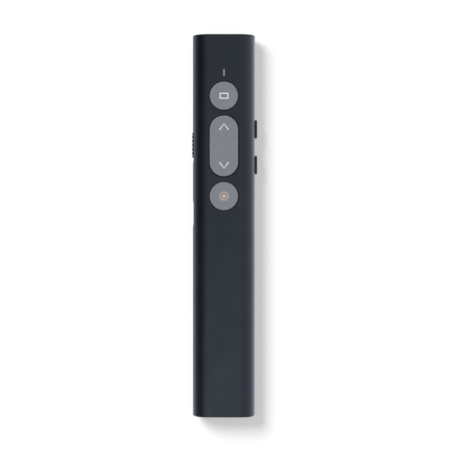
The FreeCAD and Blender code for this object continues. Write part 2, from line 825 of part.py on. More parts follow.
def frame_screws():
    """The screws that clamp the guide and the board to the tray."""
    body = new_body("frame_screws", z=guide_top)
    heads = new_sketch(body, "XY")
    shanks = new_sketch(body, "XY")
    drives = new_sketch(body, "XY", s.head_tall)
    for x, y in screw_places():
        draw_circle(heads, s.head_wide, x, y)
        draw_circle(shanks, s.screw_wide, x, y)
        draw_box(drives, s.drive_wide, s.drive_wide, x, y)
    pad(body, heads, s.head_tall)
    pad(body, shanks, guide_top - board_bottom + s.screw_deep, backwards=True)
    pocket(body, drives, s.drive_deep)


def light_pipe():
    """A clear rod that carries the light from the board to the slit in the sleeve."""
    body = new_body("light_pipe", y=light_place, z=guide_top)
    flange = new_sketch(body, "XY")
    draw_box(flange, s.pipe_flange_wide, s.pipe_flange_long)
    pad(body, flange, s.pipe_flange_thick)
    tip = new_sketch(body, "XY")
    draw_pill(tip, s.slit_wide - s.pipe_gap * 2, s.slit_long - s.pipe_gap * 2, upright=True)
    pad(body, tip, body_thick - s.pipe_drop - guide_top)
    stem = new_sketch(body, "XY")
    draw_box(stem, s.pipe_stem_wide, s.pipe_stem_long)
    pad(body, stem, guide_top - board_top - s.led_tall - s.fit, backwards=True)


def status_led():
    block("status_led", s.led_wide, s.led_long, s.led_tall, 0, light_place, board_top)


def round_key(label, along):
    body = new_body(label, y=along, z=key_top)
    profile = new_sketch(body, "XZ")
    rim, stem = key_wide / 2, s.stem_wide / 2
    low = flange_bottom - key_top
    draw_outline(profile, [
        (0, stem_bottom - key_top), (stem, stem_bottom - key_top), (stem, -s.key_skin),
        (rim - s.key_rim, -s.key_skin), (rim - s.key_rim, low), (rim, low), (rim, 0), (0, 0)])
    turned = revolve(body, profile)
    bevel_edges(body, turned, s.key_bevel, flat_at("Z", 0))
    rib_long = (rim - s.key_rim + s.fit) * 2
    for wide, tall in ((rib_long, s.rib_thick), (s.rib_thick, rib_long)):
        rib = new_sketch(body, "XY", -s.key_skin)
        draw_box(rib, wide, tall)
        pad(body, rib, -s.key_skin - low, backwards=True)
    stops = new_sketch(body, "XY", low)
    stop_middle = rim + (s.flange_reach - s.key_rim) / 2
    for x in (stop_middle, -stop_middle):
        draw_box(stops, s.flange_reach + s.key_rim, s.stop_long, x=x)
    pad(body, stops, s.flange_thick)


def rocker_key():
    body = new_body("rocker_key", y=rocker_place, z=key_top)
    low = flange_bottom - key_top
    cap = new_sketch(body, "XY")
    draw_pill(cap, rocker_wide, s.rocker_long, upright=True)
    solid = pad(body, cap, -low, backwards=True)
    bevel_edges(body, solid, s.key_bevel, flat_at("Z", 0))
    hollow = new_sketch(body, "XY", low)
    draw_pill(hollow, rocker_wide - s.key_rim * 2, s.rocker_long - s.key_rim * 2, upright=True)
    pocket(body, hollow, -low - s.key_skin, backwards=True)
    spine = new_sketch(body, "XY", -s.key_skin)
    draw_box(spine, s.rib_thick, s.rocker_long - s.key_rim)
    pad(body, spine, -s.key_skin - low, backwards=True)
    stems = new_sketch(body, "XY", -s.key_skin)
    for along in (stem_reach, -stem_reach):
        draw_circle(stems, s.stem_wide, y=along)
    pad(body, stems, key_top - s.key_skin - stem_bottom, backwards=True)
    pivot = pivot_height - key_top
    lug = new_sketch(body, "YZ", rocker_wide / 2 + s.lug_thick)
    draw_box(lug, s.lug_long, s.lug_tall, y=pivot)
    lug_pad = pad(body, lug, s.lug_thick + s.key_rim, backwards=True)
    trunnion = new_sketch(body, "YZ", rocker_wide / 2 + s.lug_thick)
    draw_circle(trunnion, s.pivot_wide, y=pivot)
    trunnion_pad = pad(body, trunnion, s.ear_gap + s.ear_thick)
    mirror = body.newObject("PartDesign::Mirrored", "Mirrored")
    mirror.Originals = [lug_pad, trunnion_pad]
    mirror.MirrorPlane = (origin_plane(body, "YZ"), [""])
    body.Tip = mirror


def side_key(label, along):
    body = new_body(label, x=side + s.side_key_proud, y=along, z=mid)
    cap = new_sketch(body, "YZ")
    draw_pill(cap, s.side_key_long, s.side_key_tall)
    flange_at = flange_side - side - s.side_key_proud
    solid = pad(body, cap, -flange_at, backwards=True)
    bevel_edges(body, solid, s.side_key_bevel, flat_at("X", 0))
    flange = new_sketch(body, "YZ", flange_at)
    draw_box(flange, s.side_key_long + s.side_flange_reach * 2, s.side_key_tall + s.side_flange_reach * 2)
    pad(body, flange, s.side_flange_thick, backwards=True)


def side_switch(name, along):
    """A push switch on the board's edge, and the plunger that moves with the key."""
    face = board_wide / 2 - s.side_switch_inset
    inside = face - s.plunger_hold
    block(f"{name}_plunger", flange_inside - inside, s.plunger_long, s.plunger_tall,
          (flange_inside + inside) / 2, along, mid - s.plunger_tall / 2)
    body = new_body(f"{name}_switch", x=face, y=along, z=mid)
    case = new_sketch(body, "YZ")
    draw_box(case, s.side_switch_long, s.socket_tall)
    pad(body, case, s.side_switch_wide, backwards=True)
    well = new_sketch(body, "YZ")
    draw_box(well, s.plunger_long + s.fit * 2, s.plunger_tall + s.fit * 2)
    pocket(body, well, s.plunger_well)


def power_knob():
    body = new_body("power_knob", x=-side, y=knob_place, z=mid)
    plate_face = side - knob_plate_side
    cap = new_sketch(body, "YZ", plate_face)
    draw_pill(cap, s.knob_long, s.knob_tall)
    pad(body, cap, plate_face + s.knob_proud * 2, backwards=True)
    crown = new_sketch(body, "XZ")
    draw_circle(crown, (mid + s.knob_proud) * 2, x=mid)
    draw_box(crown, s.body_wide * 2, s.body_wide * 2, x=mid)
    pocket(body, crown, s.knob_long + s.overrun * 2, both=True)
    groove = new_sketch(body, "XY")
    reach = s.groove_deep - s.knob_proud
    for step in (-2.5, -1.5, -0.5, 0.5, 1.5, 2.5):
        draw_box(groove, s.overrun * 2, s.groove_wide, reach - s.overrun, s.groove_pitch * step)
    pocket(body, groove, s.knob_tall + s.overrun * 2, both=True)
    plate = new_sketch(body, "YZ", plate_face)
    draw_box(plate, knob_slot_long + s.knob_travel + s.knob_plate_lap * 2,
             knob_slot_tall + s.knob_plate_lap * 2)
    pad(body, plate, s.knob_plate_thick)
    socket = new_sketch(body, "YZ", plate_face + s.knob_plate_thick)
    draw_box(socket, s.lever_long, s.lever_tall)
    pocket(body, socket, s.lever_hold)


def power_switch():
    """A slide switch on the board: its lever sits in the back of the knob and moves with it."""
    face = board_wide / 2 - s.switch_case_inset
    outside = knob_plate_side - s.knob_plate_thick + s.lever_hold
    inside = face - s.lever_reach
    block("power_switch_lever", outside - inside, s.lever_long, s.lever_tall,
          -(outside + inside) / 2, knob_place, mid - s.lever_tall / 2)
    body = new_body("power_switch_case", x=-face, y=switch_place, z=mid)
    case = new_sketch(body, "YZ")
    draw_box(case, s.switch_case_long, s.socket_tall)
    pad(body, case, s.switch_case_wide)
    slot = new_sketch(body, "YZ")
    draw_box(slot, s.lever_long + s.knob_travel + s.fit * 4, s.lever_tall + s.fit * 2)
    pocket(body, slot, s.lever_reach + s.fit, backwards=True)


def usb_socket():
    """The charging socket: a steel shell, a tongue in it and contacts on both faces of the tongue."""
    mouth = s.port_inset - side
    body = new_body("usb_c_shell", x=mouth, y=port_place, z=mid)
    outside = new_sketch(body, "YZ")
    draw_pill(outside, s.socket_long, s.socket_tall)
    pad(body, outside, s.socket_deep)
    inside = new_sketch(body, "YZ")
    draw_pill(inside, s.socket_long - s.socket_skin * 2, s.socket_tall - s.socket_skin * 2)
    pocket(body, inside, s.socket_deep - s.socket_back, backwards=True)

    body = new_body("usb_c_tongue", x=mouth, y=port_place, z=mid)
    blade = new_sketch(body, "YZ", s.tongue_drop)
    draw_box(blade, s.tongue_long, s.tongue_thick)
    pad(body, blade, s.socket_deep - s.socket_back - s.tongue_drop)
    root = new_sketch(body, "YZ", s.socket_deep - s.socket_back - s.tongue_root)
    draw_box(root, s.tongue_long, s.socket_tall - s.socket_skin * 2 - s.fit * 2)
    pad(body, root, s.tongue_root)

    body = new_body("usb_c_contacts", x=mouth + s.tongue_drop + s.contact_pitch, y=port_place, z=mid)
    strips = new_sketch(body, "YZ")
    height = (s.tongue_thick + s.contact_thick) / 2
    for step in range(6):
        across = s.contact_pitch * (step + 0.5)
        for x, y in ((across, height), (-across, height), (across, -height), (-across, -height)):
            draw_box(strips, s.contact_wide, s.contact_thick, x, y)
    pad(body, strips, s.contact_long)


def port_bezel():
    body = new_body("port_bezel", x=-side + s.bezel_inset, y=port_place, z=mid)
    inner_long = s.socket_long + s.fit * 2
    inner_tall = s.socket_tall + s.fit * 2
    flange_end = side - inner_side + s.bezel_flange_seat + s.bezel_flange_thick - s.bezel_inset
    ring = new_sketch(body, "YZ")
    draw_pill(ring, port_long - s.fit * 2, port_tall - s.fit * 2)
    pad(body, ring, flange_end)
    flange = new_sketch(body, "YZ", flange_end)
    draw_box(flange, port_long + s.bezel_flange_reach * 2, port_tall + s.bezel_flange_rise)
    pad(body, flange, s.bezel_flange_thick, backwards=True)
    hole = new_sketch(body, "YZ", -s.overrun)
    draw_pill(hole, inner_long, inner_tall)
    pocket(body, hole, flange_end + s.overrun * 2, backwards=True)


def battery_pack():
    battery_bottom = tray_top + s.pad_thick
    centre = battery_nose - battery_long / 2
    body = new_body("battery", y=centre, z=battery_bottom)
    outline = new_sketch(body, "XY")
    draw_cut_box(outline, battery_wide, battery_long, s.battery_corner)
    pad(body, outline, s.battery_thick)
    block("battery_pad", battery_wide - s.pad_margin * 2, battery_long - s.pad_setback * 2, s.pad_thick,
          0, centre, tray_top)
    block("battery_connector", s.connector_wide, s.connector_long, s.connector_tall,
          0, connector_tail + s.connector_long / 2, board_top)
    leads = new_body("battery_leads", y=connector_tail, z=board_top + s.connector_tall / 2)
    ends = new_sketch(leads, "XZ")
    for x in (s.lead_pitch / 2, -s.lead_pitch / 2):
        draw_circle(ends, s.lead_wide, x=x)
    pad(leads, ends, connector_tail - battery_nose)


def chips():
    block("microcontroller", s.processor_wide, s.processor_wide, s.processor_tall,
          0, rocker_place, board_top)
    crystal_side = s.processor_wide / 2 + s.crystal_gap + s.crystal_wide / 2
    block("radio_crystal", s.crystal_wide, s.crystal_long, s.crystal_tall,
          crystal_side, rocker_place, board_top)
    block("chip_antenna", s.antenna_wide, s.antenna_long, s.antenna_tall, -s.antenna_offset,
          board_nose - s.antenna_setback - s.antenna_long / 2, board_top)
    block("charge_chip", s.charger_wide, s.charger_wide, s.charger_tall,
          s.charger_offset, port_place, board_top)
    body = new_body("board_passives", z=board_top)
    spots = new_sketch(body, "XY")
    across_shares = (0.22, -0.22, 0.22, -0.22, 0.22, -0.3)
    along_shares = (0.35, 0.4, 0.47, 0.68, 0.88, 0.87)
    long = board_nose - board_tail
    for across_share, along_share in zip(across_shares, along_shares):
        draw_box(spots, s.passive_wide, s.passive_long,
                 board_wide * across_share, board_tail + long * along_share)
    pad(body, spots, s.passive_tall)


def receiver():
    """The radio receiver that stows in the tail: a grip and a standard plug."""
    body = new_body("receiver_grip", y=grip_end, z=mid)
    section = new_sketch(body, "XZ")
    draw_round_box(section, grip_wide, s.grip_tall, s.grip_corner)
    grip = pad(body, section, s.grip_long, backwards=True)
    bevel_edges(body, grip, s.grip_bevel, flat_at("Y", 0))
    grooves = new_sketch(body, "YZ")
    groove_place = s.nail_groove_setback + s.nail_groove_wide / 2
    for height in (s.grip_tall / 2, -s.grip_tall / 2):
        draw_box(grooves, s.nail_groove_wide, s.nail_groove_deep * 2, groove_place, height)
    pocket(body, grooves, s.nail_wide, both=True)

    body = new_body("receiver_plug", y=plug_root, z=mid)
    section = new_sketch(body, "XZ")
    draw_cut_box(section, s.plug_wide, s.plug_tall, s.plug_corner)
    inner_wide, inner_tall = s.plug_wide - s.plug_skin * 2, s.plug_tall - s.plug_skin * 2
    draw_cut_box(section, inner_wide, inner_tall, s.plug_corner - s.plug_skin)
    pad(body, section, s.plug_long, backwards=True)
    latches = new_sketch(body, "XY")
    for x in (s.latch_pitch / 2, -s.latch_pitch / 2):
        draw_box(latches, s.latch_wide, s.latch_wide, x, s.plug_long - s.latch_setback - s.latch_wide / 2)
    pocket(body, latches, s.plug_tall + s.overrun, both=True)

    tongue_low = mid - inner_tall / 2
    block("receiver_tongue", inner_wide - s.plug_corner * 2, s.plug_long - s.plug_tongue_inset,
          s.plug_tongue_tall, 0, plug_root + (s.plug_long - s.plug_tongue_inset) / 2, tongue_low)
    body = new_body("receiver_contacts", y=plug_root + s.plug_long - s.plug_tongue_inset * 2,
                    z=tongue_low + s.plug_tongue_tall)
    strips = new_sketch(body, "XY")
    for step in (-1.5, -0.5, 0.5, 1.5):
        draw_box(strips, s.plug_contact_wide, s.plug_contact_long, s.plug_contact_pitch * step,
                 -s.plug_contact_long / 2)
    pad(body, strips, s.plug_contact_thick)


def check_model():
    """Stops if anything failed, if a cut missed, or if a piece isn't a sound solid."""
    for item in doc.Objects:
        if "Invalid" in item.State or "Error" in item.State:
            raise RuntimeError(f"{item.Label} failed: {item.State}")
        if item.TypeId == "PartDesign::Pocket":
            if item.Shape.Volume > item.BaseFeature.Shape.Volume - TINY:
                raise RuntimeError(f"{item.Label} of {item.getParentGeoFeatureGroup().Label} cuts nothing")
    for label, item in parts.items():
        if item.Shape.isNull() or not item.Shape.isValid() or not item.Shape.Solids:
            raise RuntimeError(f"{label} is not a sound solid")


def write_parts():
    os.makedirs("parts", exist_ok=True)
    for label, item in parts.items():
        item.Shape.exportStep(f"parts/{label}.step")


sleeve()
nose_cap()
nose_window()
tail_cap()
receiver_magnet()
laser_barrel()
laser_lens()
laser_diode()
chassis()
main_board()
snap_domes()
key_guide()
frame_screws()
light_pipe()
status_led()
round_key("blank_key", blank_key_place)
round_key("laser_key", laser_key_place)
rocker_key()
for name, along in zip(("upper_side", "lower_side"), side_key_places()):
    side_key(f"{name}_key", along)
    side_switch(name, along)
power_knob()
power_switch()
usb_socket()
port_bezel()
battery_pack()
chips()
receiver()
doc.recompute()
check_model()
write_parts()
print(len(parts), "pieces written")
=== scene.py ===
from math import atan2, cos, pi, radians, sin

import bmesh
import bpy
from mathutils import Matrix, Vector


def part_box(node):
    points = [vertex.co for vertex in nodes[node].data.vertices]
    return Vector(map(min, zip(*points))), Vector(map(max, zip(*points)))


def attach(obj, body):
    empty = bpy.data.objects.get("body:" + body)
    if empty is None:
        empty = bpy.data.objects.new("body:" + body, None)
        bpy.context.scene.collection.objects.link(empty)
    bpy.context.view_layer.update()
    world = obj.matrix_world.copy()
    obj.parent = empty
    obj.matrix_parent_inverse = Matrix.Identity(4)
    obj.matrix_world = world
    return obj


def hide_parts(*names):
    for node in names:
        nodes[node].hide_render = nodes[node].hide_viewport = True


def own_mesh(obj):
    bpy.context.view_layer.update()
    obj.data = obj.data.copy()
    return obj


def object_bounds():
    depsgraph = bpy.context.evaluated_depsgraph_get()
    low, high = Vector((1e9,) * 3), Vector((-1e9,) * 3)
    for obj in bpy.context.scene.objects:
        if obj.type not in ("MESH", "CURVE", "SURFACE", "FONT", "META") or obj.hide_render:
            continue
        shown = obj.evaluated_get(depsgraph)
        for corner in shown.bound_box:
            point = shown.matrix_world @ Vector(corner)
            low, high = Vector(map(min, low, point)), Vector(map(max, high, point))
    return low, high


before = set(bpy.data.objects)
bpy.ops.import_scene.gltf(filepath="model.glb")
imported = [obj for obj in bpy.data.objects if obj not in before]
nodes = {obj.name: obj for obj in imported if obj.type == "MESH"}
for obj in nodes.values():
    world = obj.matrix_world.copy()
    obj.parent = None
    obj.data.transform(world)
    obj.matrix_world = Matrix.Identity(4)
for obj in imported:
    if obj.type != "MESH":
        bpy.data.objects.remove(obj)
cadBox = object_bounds()
mm = 0.001  # the scene is in metres, sizes below are in millimetres
hair = 0.001 * mm  # places closer than this count as one


def hexToLinear(code):
    channels = [int(code[i:i + 2], 16) / 255 for i in (1, 3, 5)]
    return (*[c / 12.92 if c <= 0.04045 else ((c + 0.055) / 1.055) ** 2.4 for c in channels], 1)


def addNode(tree, kind, values={}, links={}, **settings):
    node = tree.nodes.new("ShaderNode" + kind)
    for name, value in settings.items():
        setattr(node, name, value)
    for name, value in values.items():
        node.inputs[name].default_value = value
    for name, source in links.items():
        tree.links.new(source, node.inputs[name])
    return node


# Finishes

def startFinish(name, values):
    finish = bpy.data.materials.new(name)
    finish.use_nodes = True
    tree = finish.node_tree
    tree.nodes.clear()
    shader = addNode(tree, "BsdfPrincipled", values)
    addNode(tree, "OutputMaterial", links={"Surface": shader.outputs[0]})
    place = addNode(tree, "TexCoord").outputs["Object"]
    return finish, tree, shader, place


def addMottle(tree, shader, place, dark, light, spacing, detail=3.0):
    # two shades of one colour in soft patches, spacing in mm
    noise = addNode(tree, "TexNoise", {"Scale": 1 / (spacing * mm), "Detail": detail}, {"Vector": place})
    ramp = addNode(tree, "ValToRGB", links={"Fac": noise.outputs["Fac"]})
    ramp.color_ramp.elements[0].position = 0.35
    ramp.color_ramp.elements[0].color = hexToLinear(dark)
    ramp.color_ramp.elements[1].position = 0.65
    ramp.color_ramp.elements[1].color = hexToLinear(light)
    tree.links.new(ramp.outputs["Color"], shader.inputs["Base Color"])


def addRoughness(tree, shader, place, low, high, spacing):
    # handled and unhandled patches, spacing in mm
    noise = addNode(tree, "TexNoise", {"Scale": 1 / (spacing * mm), "Detail": 2.0}, {"Vector": place})
    spread = addNode(tree, "MapRange", {"From Min": 0.3, "From Max": 0.7, "To Min": low, "To Max": high},
                     {"Value": noise.outputs["Fac"]})
    tree.links.new(spread.outputs["Result"], shader.inputs["Roughness"])


def addGrain(tree, shader, place, spacing, depth, detail=2.0):
    # raised and sunken grain, spacing and depth in mm
    noise = addNode(tree, "TexNoise", {"Scale": 1 / (spacing * mm), "Detail": detail}, {"Vector": place})
    bump = addNode(tree, "Bump", {"Distance": depth * mm, "Strength": 1.0}, {"Height": noise.outputs["Fac"]})
    tree.links.new(bump.outputs["Normal"], shader.inputs["Normal"])


def addLines(tree, shader, place, axis, spacing, depth):
    # machined or rolled lines across one axis, spacing and depth in mm. A wave node turns 20 radians in a metre
    # at a scale of 1, so the lines lie 2 pi spacings apart, coarser than real ones so that they show
    wave = addNode(tree, "TexWave", {"Scale": 1 / (spacing * mm * 20), "Distortion": 1.5, "Detail": 2.0},
                   {"Vector": place}, bands_direction=axis)
    bump = addNode(tree, "Bump", {"Distance": depth * mm, "Strength": 1.0}, {"Height": wave.outputs["Fac"]})
    tree.links.new(bump.outputs["Normal"], shader.inputs["Normal"])


def anodisedAluminium():
    # bead-blasted tube dyed dark grey: a satin sheen that goes pale at glancing angles
    finish, *surface = startFinish("anodised aluminium", {"Metallic": 0.85})
    addMottle(*surface, "#2c3139", "#2f343b", 9)
    addRoughness(*surface, 0.28, 0.32, 12)
    addGrain(*surface, 0.25, 0.01)  # blast grain is near 0.08 mm, drawn coarser so that it shows
    return finish


def mattAbs():
    # key tops with a fine moulded grain: an even mid grey with hardly any shine
    finish, *surface = startFinish("matt ABS", {"Roughness": 0.6, "IOR": 1.5})
    addMottle(*surface, "#7b8088", "#7f848c", 2.5)
    addGrain(*surface, 0.3, 0.035)  # spark-eroded grain is near 0.1 mm, drawn coarser so that it shows
    return finish


def blackAbs():
    # end plugs and port frame: satin charcoal that nearly matches the tube
    finish, *surface = startFinish("charcoal ABS", {"Roughness": 0.5, "IOR": 1.5})
    addMottle(*surface, "#24272b", "#282b30", 3)
    addGrain(*surface, 0.3, 0.035)
    return finish


def rubberisedAbs():
    # side keys and the slide: soft-touch paint, almost black and dull
    finish, *surface = startFinish("soft-touch ABS", {"Roughness": 0.7, "IOR": 1.5})
    addMottle(*surface, "#232326", "#29292c", 1.5)
    addGrain(*surface, 0.25, 0.03)
    return finish


def filledNylon():
    # tray and key guide: black, with the pale flecks of short glass fibres
    finish, *surface = startFinish("glass-filled nylon", {"Roughness": 0.55, "IOR": 1.53})
    addMottle(*surface, "#17181a", "#26282b", 0.5, 5.0)
    addGrain(*surface, 0.4, 0.01)
    return finish


def frostedPolycarbonate():
    # light pipe: milky, so that it glows evenly when the lamp under it is lit
    finish, *surface = startFinish("frosted polycarbonate", {
        "Roughness": 0.45, "IOR": 1.58, "Transmission Weight": 0.15})
    addMottle(*surface, "#7e848c", "#8b9199", 0.8)
    addGrain(*surface, 0.2, 0.004)
    return finish


def tintedPolycarbonate():
    # nose window: glossy, smoked towards red so that only the laser's light comes through well
    finish, *surface = startFinish("tinted polycarbonate", {
        "IOR": 1.58, "Transmission Weight": 0.9})
    addMottle(*surface, "#5c2b30", "#683438", 2)
    addRoughness(*surface, 0.02, 0.05, 1.5)
    return finish


def crownGlass():
    # collimating lens: clear with a bluish coating
    finish, *surface = startFinish("crown glass", {
        "IOR": 1.517, "Transmission Weight": 1.0, "Coat Weight": 0.4})
    addMottle(*surface, "#e6eef6", "#f0f4fa", 2)
    addRoughness(*surface, 0.01, 0.03, 1.5)
    return finish


def turnedBrass():
    # laser barrel: yellow metal with rings left by the lathe
    finish, *surface = startFinish("turned brass", {"Metallic": 1.0, "Roughness": 0.26})
    addMottle(*surface, "#c9a256", "#d4b068", 2)
    addLines(*surface, "Y", 0.25, 0.006)
    return finish


def springSteel():
    # snap domes: bright sheet with a faint straw tint
    finish, *surface = startFinish("spring steel", {"Metallic": 1.0})
    addMottle(*surface, "#bcb7ab", "#c9c5bb", 2)
    addRoughness(*surface, 0.18, 0.3, 1)
    return finish


def stampedSteel():
    # socket shells, plug, can and screws: rolled sheet, cool grey, with fine rolling lines
    finish, *surface = startFinish("stamped steel", {"Metallic": 1.0, "Roughness": 0.28})
    addMottle(*surface, "#b9babc", "#c6c7c9", 3)
    addLines(*surface, "X", 0.2, 0.003)
    return finish


def nickelPlate():
    # magnet: bright plating with a warm cast
    finish, *surface = startFinish("nickel plate", {"Metallic": 1.0})
    addMottle(*surface, "#b5afa4", "#c2bdb2", 1.5)
    addRoughness(*surface, 0.15, 0.25, 1)
    return finish


def boardLaminate():
    # circuit board: dark green solder mask over woven glass
    finish, *surface = startFinish("glass-epoxy laminate", {"Roughness": 0.35, "IOR": 1.55})
    addMottle(*surface, "#123524", "#1b4a31", 1.8)
    addLines(*surface, "X", 0.5, 0.01)
    return finish


def chipEpoxy():
    # chip bodies: dull black moulding compound with a filler sparkle
    finish, *surface = startFinish("epoxy moulding compound", {"Roughness": 0.6, "IOR": 1.55})
    addMottle(*surface, "#1a1a1c", "#242427", 0.3, 4.0)
    addGrain(*surface, 0.2, 0.005)
    return finish


def blackNylon():
    # switch bodies, plungers and lever: black with a slight shine, a little greyer where it was handled
    finish, *surface = startFinish("moulded nylon", {"IOR": 1.53})
    addMottle(*surface, "#1d1d1f", "#28282a", 1.2)
    addRoughness(*surface, 0.32, 0.46, 1)
    addGrain(*surface, 0.25, 0.005)
    return finish


def blackLcp():
    # socket and plug tongues: black liquid-crystal polymer with flow marks
    finish, *surface = startFinish("black LCP", {"Roughness": 0.45, "IOR": 1.6})
    addMottle(*surface, "#151516", "#1f1f21", 0.8)
    addLines(*surface, "Y", 0.6, 0.004)
    return finish


def goldPlate():
    # contacts: thin hard gold over nickel
    finish, *surface = startFinish("gold plate", {"Metallic": 1.0})
    addMottle(*surface, "#d9ad4a", "#e6bf62", 1)
    addRoughness(*surface, 0.18, 0.28, 0.6)
    return finish


def pouchFilm():
    # battery: silvery laminated pouch, a little crinkled
    finish, *surface = startFinish("pouch film", {"Metallic": 0.9})
    addMottle(*surface, "#a9abae", "#b9bbbe", 6)
    addRoughness(*surface, 0.3, 0.42, 4)
    addGrain(*surface, 4, 0.12, 1.0)
    return finish


def urethaneFoam():
    # battery pad: dark open-cell foam
    finish, *surface = startFinish("urethane foam", {"Roughness": 0.95, "IOR": 1.4})
    addMottle(*surface, "#1c1c1c", "#2c2c2c", 0.4, 4.0)
    addGrain(*surface, 0.5, 0.08, 4.0)
    return finish


def whiteNylon():
    # battery connector: milky white
    finish, *surface = startFinish("white nylon", {"Roughness": 0.45, "IOR": 1.53})
    addMottle(*surface, "#dcd8cc", "#e6e3d9", 1.2)
    addGrain(*surface, 0.3, 0.005)
    return finish


def polyimideTape():
    # amber tape over the battery's seal: glossy, with a slight ripple
    finish, *surface = startFinish("polyimide tape", {"Roughness": 0.25, "IOR": 1.7})
    addMottle(*surface, "#a8741f", "#b98329", 2)
    addGrain(*surface, 1.5, 0.02, 1.0)
    return finish


def leadPvc():
    # battery leads: one red and one black, on either side of the middle
    finish, tree, shader, place = startFinish("PVC insulation", {"Roughness": 0.4, "IOR": 1.53})
    across = addNode(tree, "SeparateXYZ", links={"Vector": place}).outputs["X"]
    side = addNode(tree, "Math", {1: 0.0}, {0: across}, operation="GREATER_THAN")
    ramp = addNode(tree, "ValToRGB", links={"Fac": side.outputs[0]})
    ramp.color_ramp.elements[0].color = hexToLinear("#1b1b1c")
    ramp.color_ramp.elements[1].color = hexToLinear("#a81f1c")
    tree.links.new(ramp.outputs["Color"], shader.inputs["Base Color"])
    addGrain(tree, shader, place, 0.4, 0.005)
    return finish


def printInk(name, dark, light):
    # pad-printed marks: an even film of ink, slightly glossier than the key
    finish, *surface = startFinish(name, {"Roughness": 0.45, "IOR": 1.5})
    addMottle(*surface, dark, light, 0.6)
    addGrain(*surface, 0.2, 0.002)
    return finish


slotFinishes = {
    "sleeve_aluminium": anodisedAluminium(),
    "key_plastic": mattAbs(),
    "cap_plastic": blackAbs(),
    "side_key_plastic": rubberisedAbs(),
    "frame_plastic": filledNylon(),
    "clear_plastic": frostedPolycarbonate(),
    "lens_glass": crownGlass(),
    "barrel_brass": turnedBrass(),
    "spring_steel": springSteel(),
    "bright_steel": stampedSteel(),
    "magnet_nickel": nickelPlate(),
    "board_laminate": boardLaminate(),
    "chip_plastic": chipEpoxy(),
    "switch_plastic": blackNylon(),
    "tongue_plastic": blackLcp(),
    "contact_gold": goldPlate(),
    "battery_film": pouchFilm(),
    "foam": urethaneFoam(),
    "connector_nylon": whiteNylon(),
    "lead_rubber": leadPvc(),
}
for node in nodes.values():
    for slot in node.material_slots:
        slot.material = slotFinishes[slot.material.name.split(".")[0]]
print("finishes on the packed nodes: done")


# Modelling helpers

def startPiece(name):
    piece = bpy.context.object
    piece.name = name
    piece.data.name = name
    return piece


def deselectAll():
    bpy.ops.object.select_all(action="DESELECT")


def pick(*pieces):
    deselectAll()
    for piece in pieces:
        piece.select_set(True)
    bpy.context.view_layer.objects.active = pieces[0]


def settle(piece):
    # the place goes into the mesh, so that the object sits at the origin
    pick(piece)
    bpy.ops.object.transform_apply(location=True, rotation=True, scale=True)


def joinPieces(*pieces):
    pick(*pieces)
    bpy.ops.object.join()


def editPiece(piece):
    # starts with all of it selected
    pick(piece)
    bpy.ops.object.mode_set(mode="EDIT")
    bpy.ops.mesh.select_all(action="SELECT")


def smooth(piece):
    pick(piece)
    bpy.ops.object.shade_smooth_by_angle(angle=radians(35))


def endEdit(piece):
    bpy.ops.mesh.select_all(action="DESELECT")
    bpy.ops.object.mode_set(mode="OBJECT")
    smooth(piece)


def selectFaces(piece, test):
    bpy.ops.mesh.select_mode(type="FACE")
    bpy.ops.mesh.select_all(action="DESELECT")
    mesh = bmesh.from_edit_mesh(piece.data)
    for face in mesh.faces:
        face.select_set(test(face.calc_center_median(), face.normal))
    bmesh.update_edit_mesh(piece.data)


def selectEdges(piece, test):
    bpy.ops.mesh.select_mode(type="EDGE")
    bpy.ops.mesh.select_all(action="DESELECT")
    mesh = bmesh.from_edit_mesh(piece.data)
    for edge in mesh.edges:
        edge.select_set(all(test(vertex.co) for vertex in edge.verts))
    bmesh.update_edit_mesh(piece.data)


def moveBy(distance, axis):
    value = [0, 0, 0]
    value["xyz".index(axis)] = distance
    bpy.ops.transform.translate(value=value)


def extrudeBy(distance, axis):
    value = [0, 0, 0]
    value["xyz".index(axis)] = distance
    bpy.ops.mesh.extrude_region_move(TRANSFORM_OT_translate={"value": value})


def cutAt(place, normal, **settings):
    # bisect's own threshold is 0.1 mm, too coarse for such small pieces
    bpy.ops.mesh.bisect(plane_co=place, plane_no=normal, threshold=hair, **settings)


def near(first, second):
    return abs(first - second) < hair


def raiseSheet(piece, thick):
    # a flat shape gets its thickness, upwards
    editPiece(piece)
    bpy.ops.mesh.remove_doubles(threshold=hair)
    extrudeBy(thick, "z")
    bpy.ops.mesh.select_all(action="SELECT")
    bpy.ops.mesh.normals_make_consistent(inside=False)
    endEdit(piece)


def dress(piece, body, slotName, finish=None):
    # the slot's own finish, or another one
    piece.data.materials.clear()
    piece.data.materials.append(finish or slotFinishes[slotName])
    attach(piece, body)


def shapeWith(piece, cutter, operation):
    # cuts or trims one piece with another, which is then removed
    change = piece.modifiers.new("cut", "BOOLEAN")
    change.operation = operation
    change.object = cutter
    pick(piece)
    bpy.ops.object.modifier_apply(modifier=change.name)
    pick(cutter)
    bpy.ops.object.delete()
    editPiece(piece)
    seam = 0.004 * mm  # the cut can leave points this close together
    bpy.ops.mesh.remove_doubles(threshold=seam)
    bpy.ops.mesh.dissolve_degenerate(threshold=seam)
    endEdit(piece)


def addBlock(name, sizes, middle, edge=0.1 * mm, segments=2):
    # a block with softened edges
    deselectAll()
    bpy.ops.mesh.primitive_cube_add(size=1, location=middle)
    block = startPiece(name)
    block.scale = sizes
    settle(block)
    editPiece(block)
    bpy.ops.mesh.bevel(offset=edge, segments=segments, affect="EDGES")
    endEdit(block)
    return block


def blockIn(name, low, high, edge=0.05 * mm, segments=2):
    # a softened block from its lowest to its highest corner
    low, high = Vector(low), Vector(high)
    return addBlock(name, high - low, (low + high) / 2, edge, segments)


def copyBy(piece, shift):
    # a copy with its own mesh, some way off
    pick(piece)
    bpy.ops.object.duplicate()
    copy = bpy.context.object
    copy.location = shift
    settle(copy)
    return copy


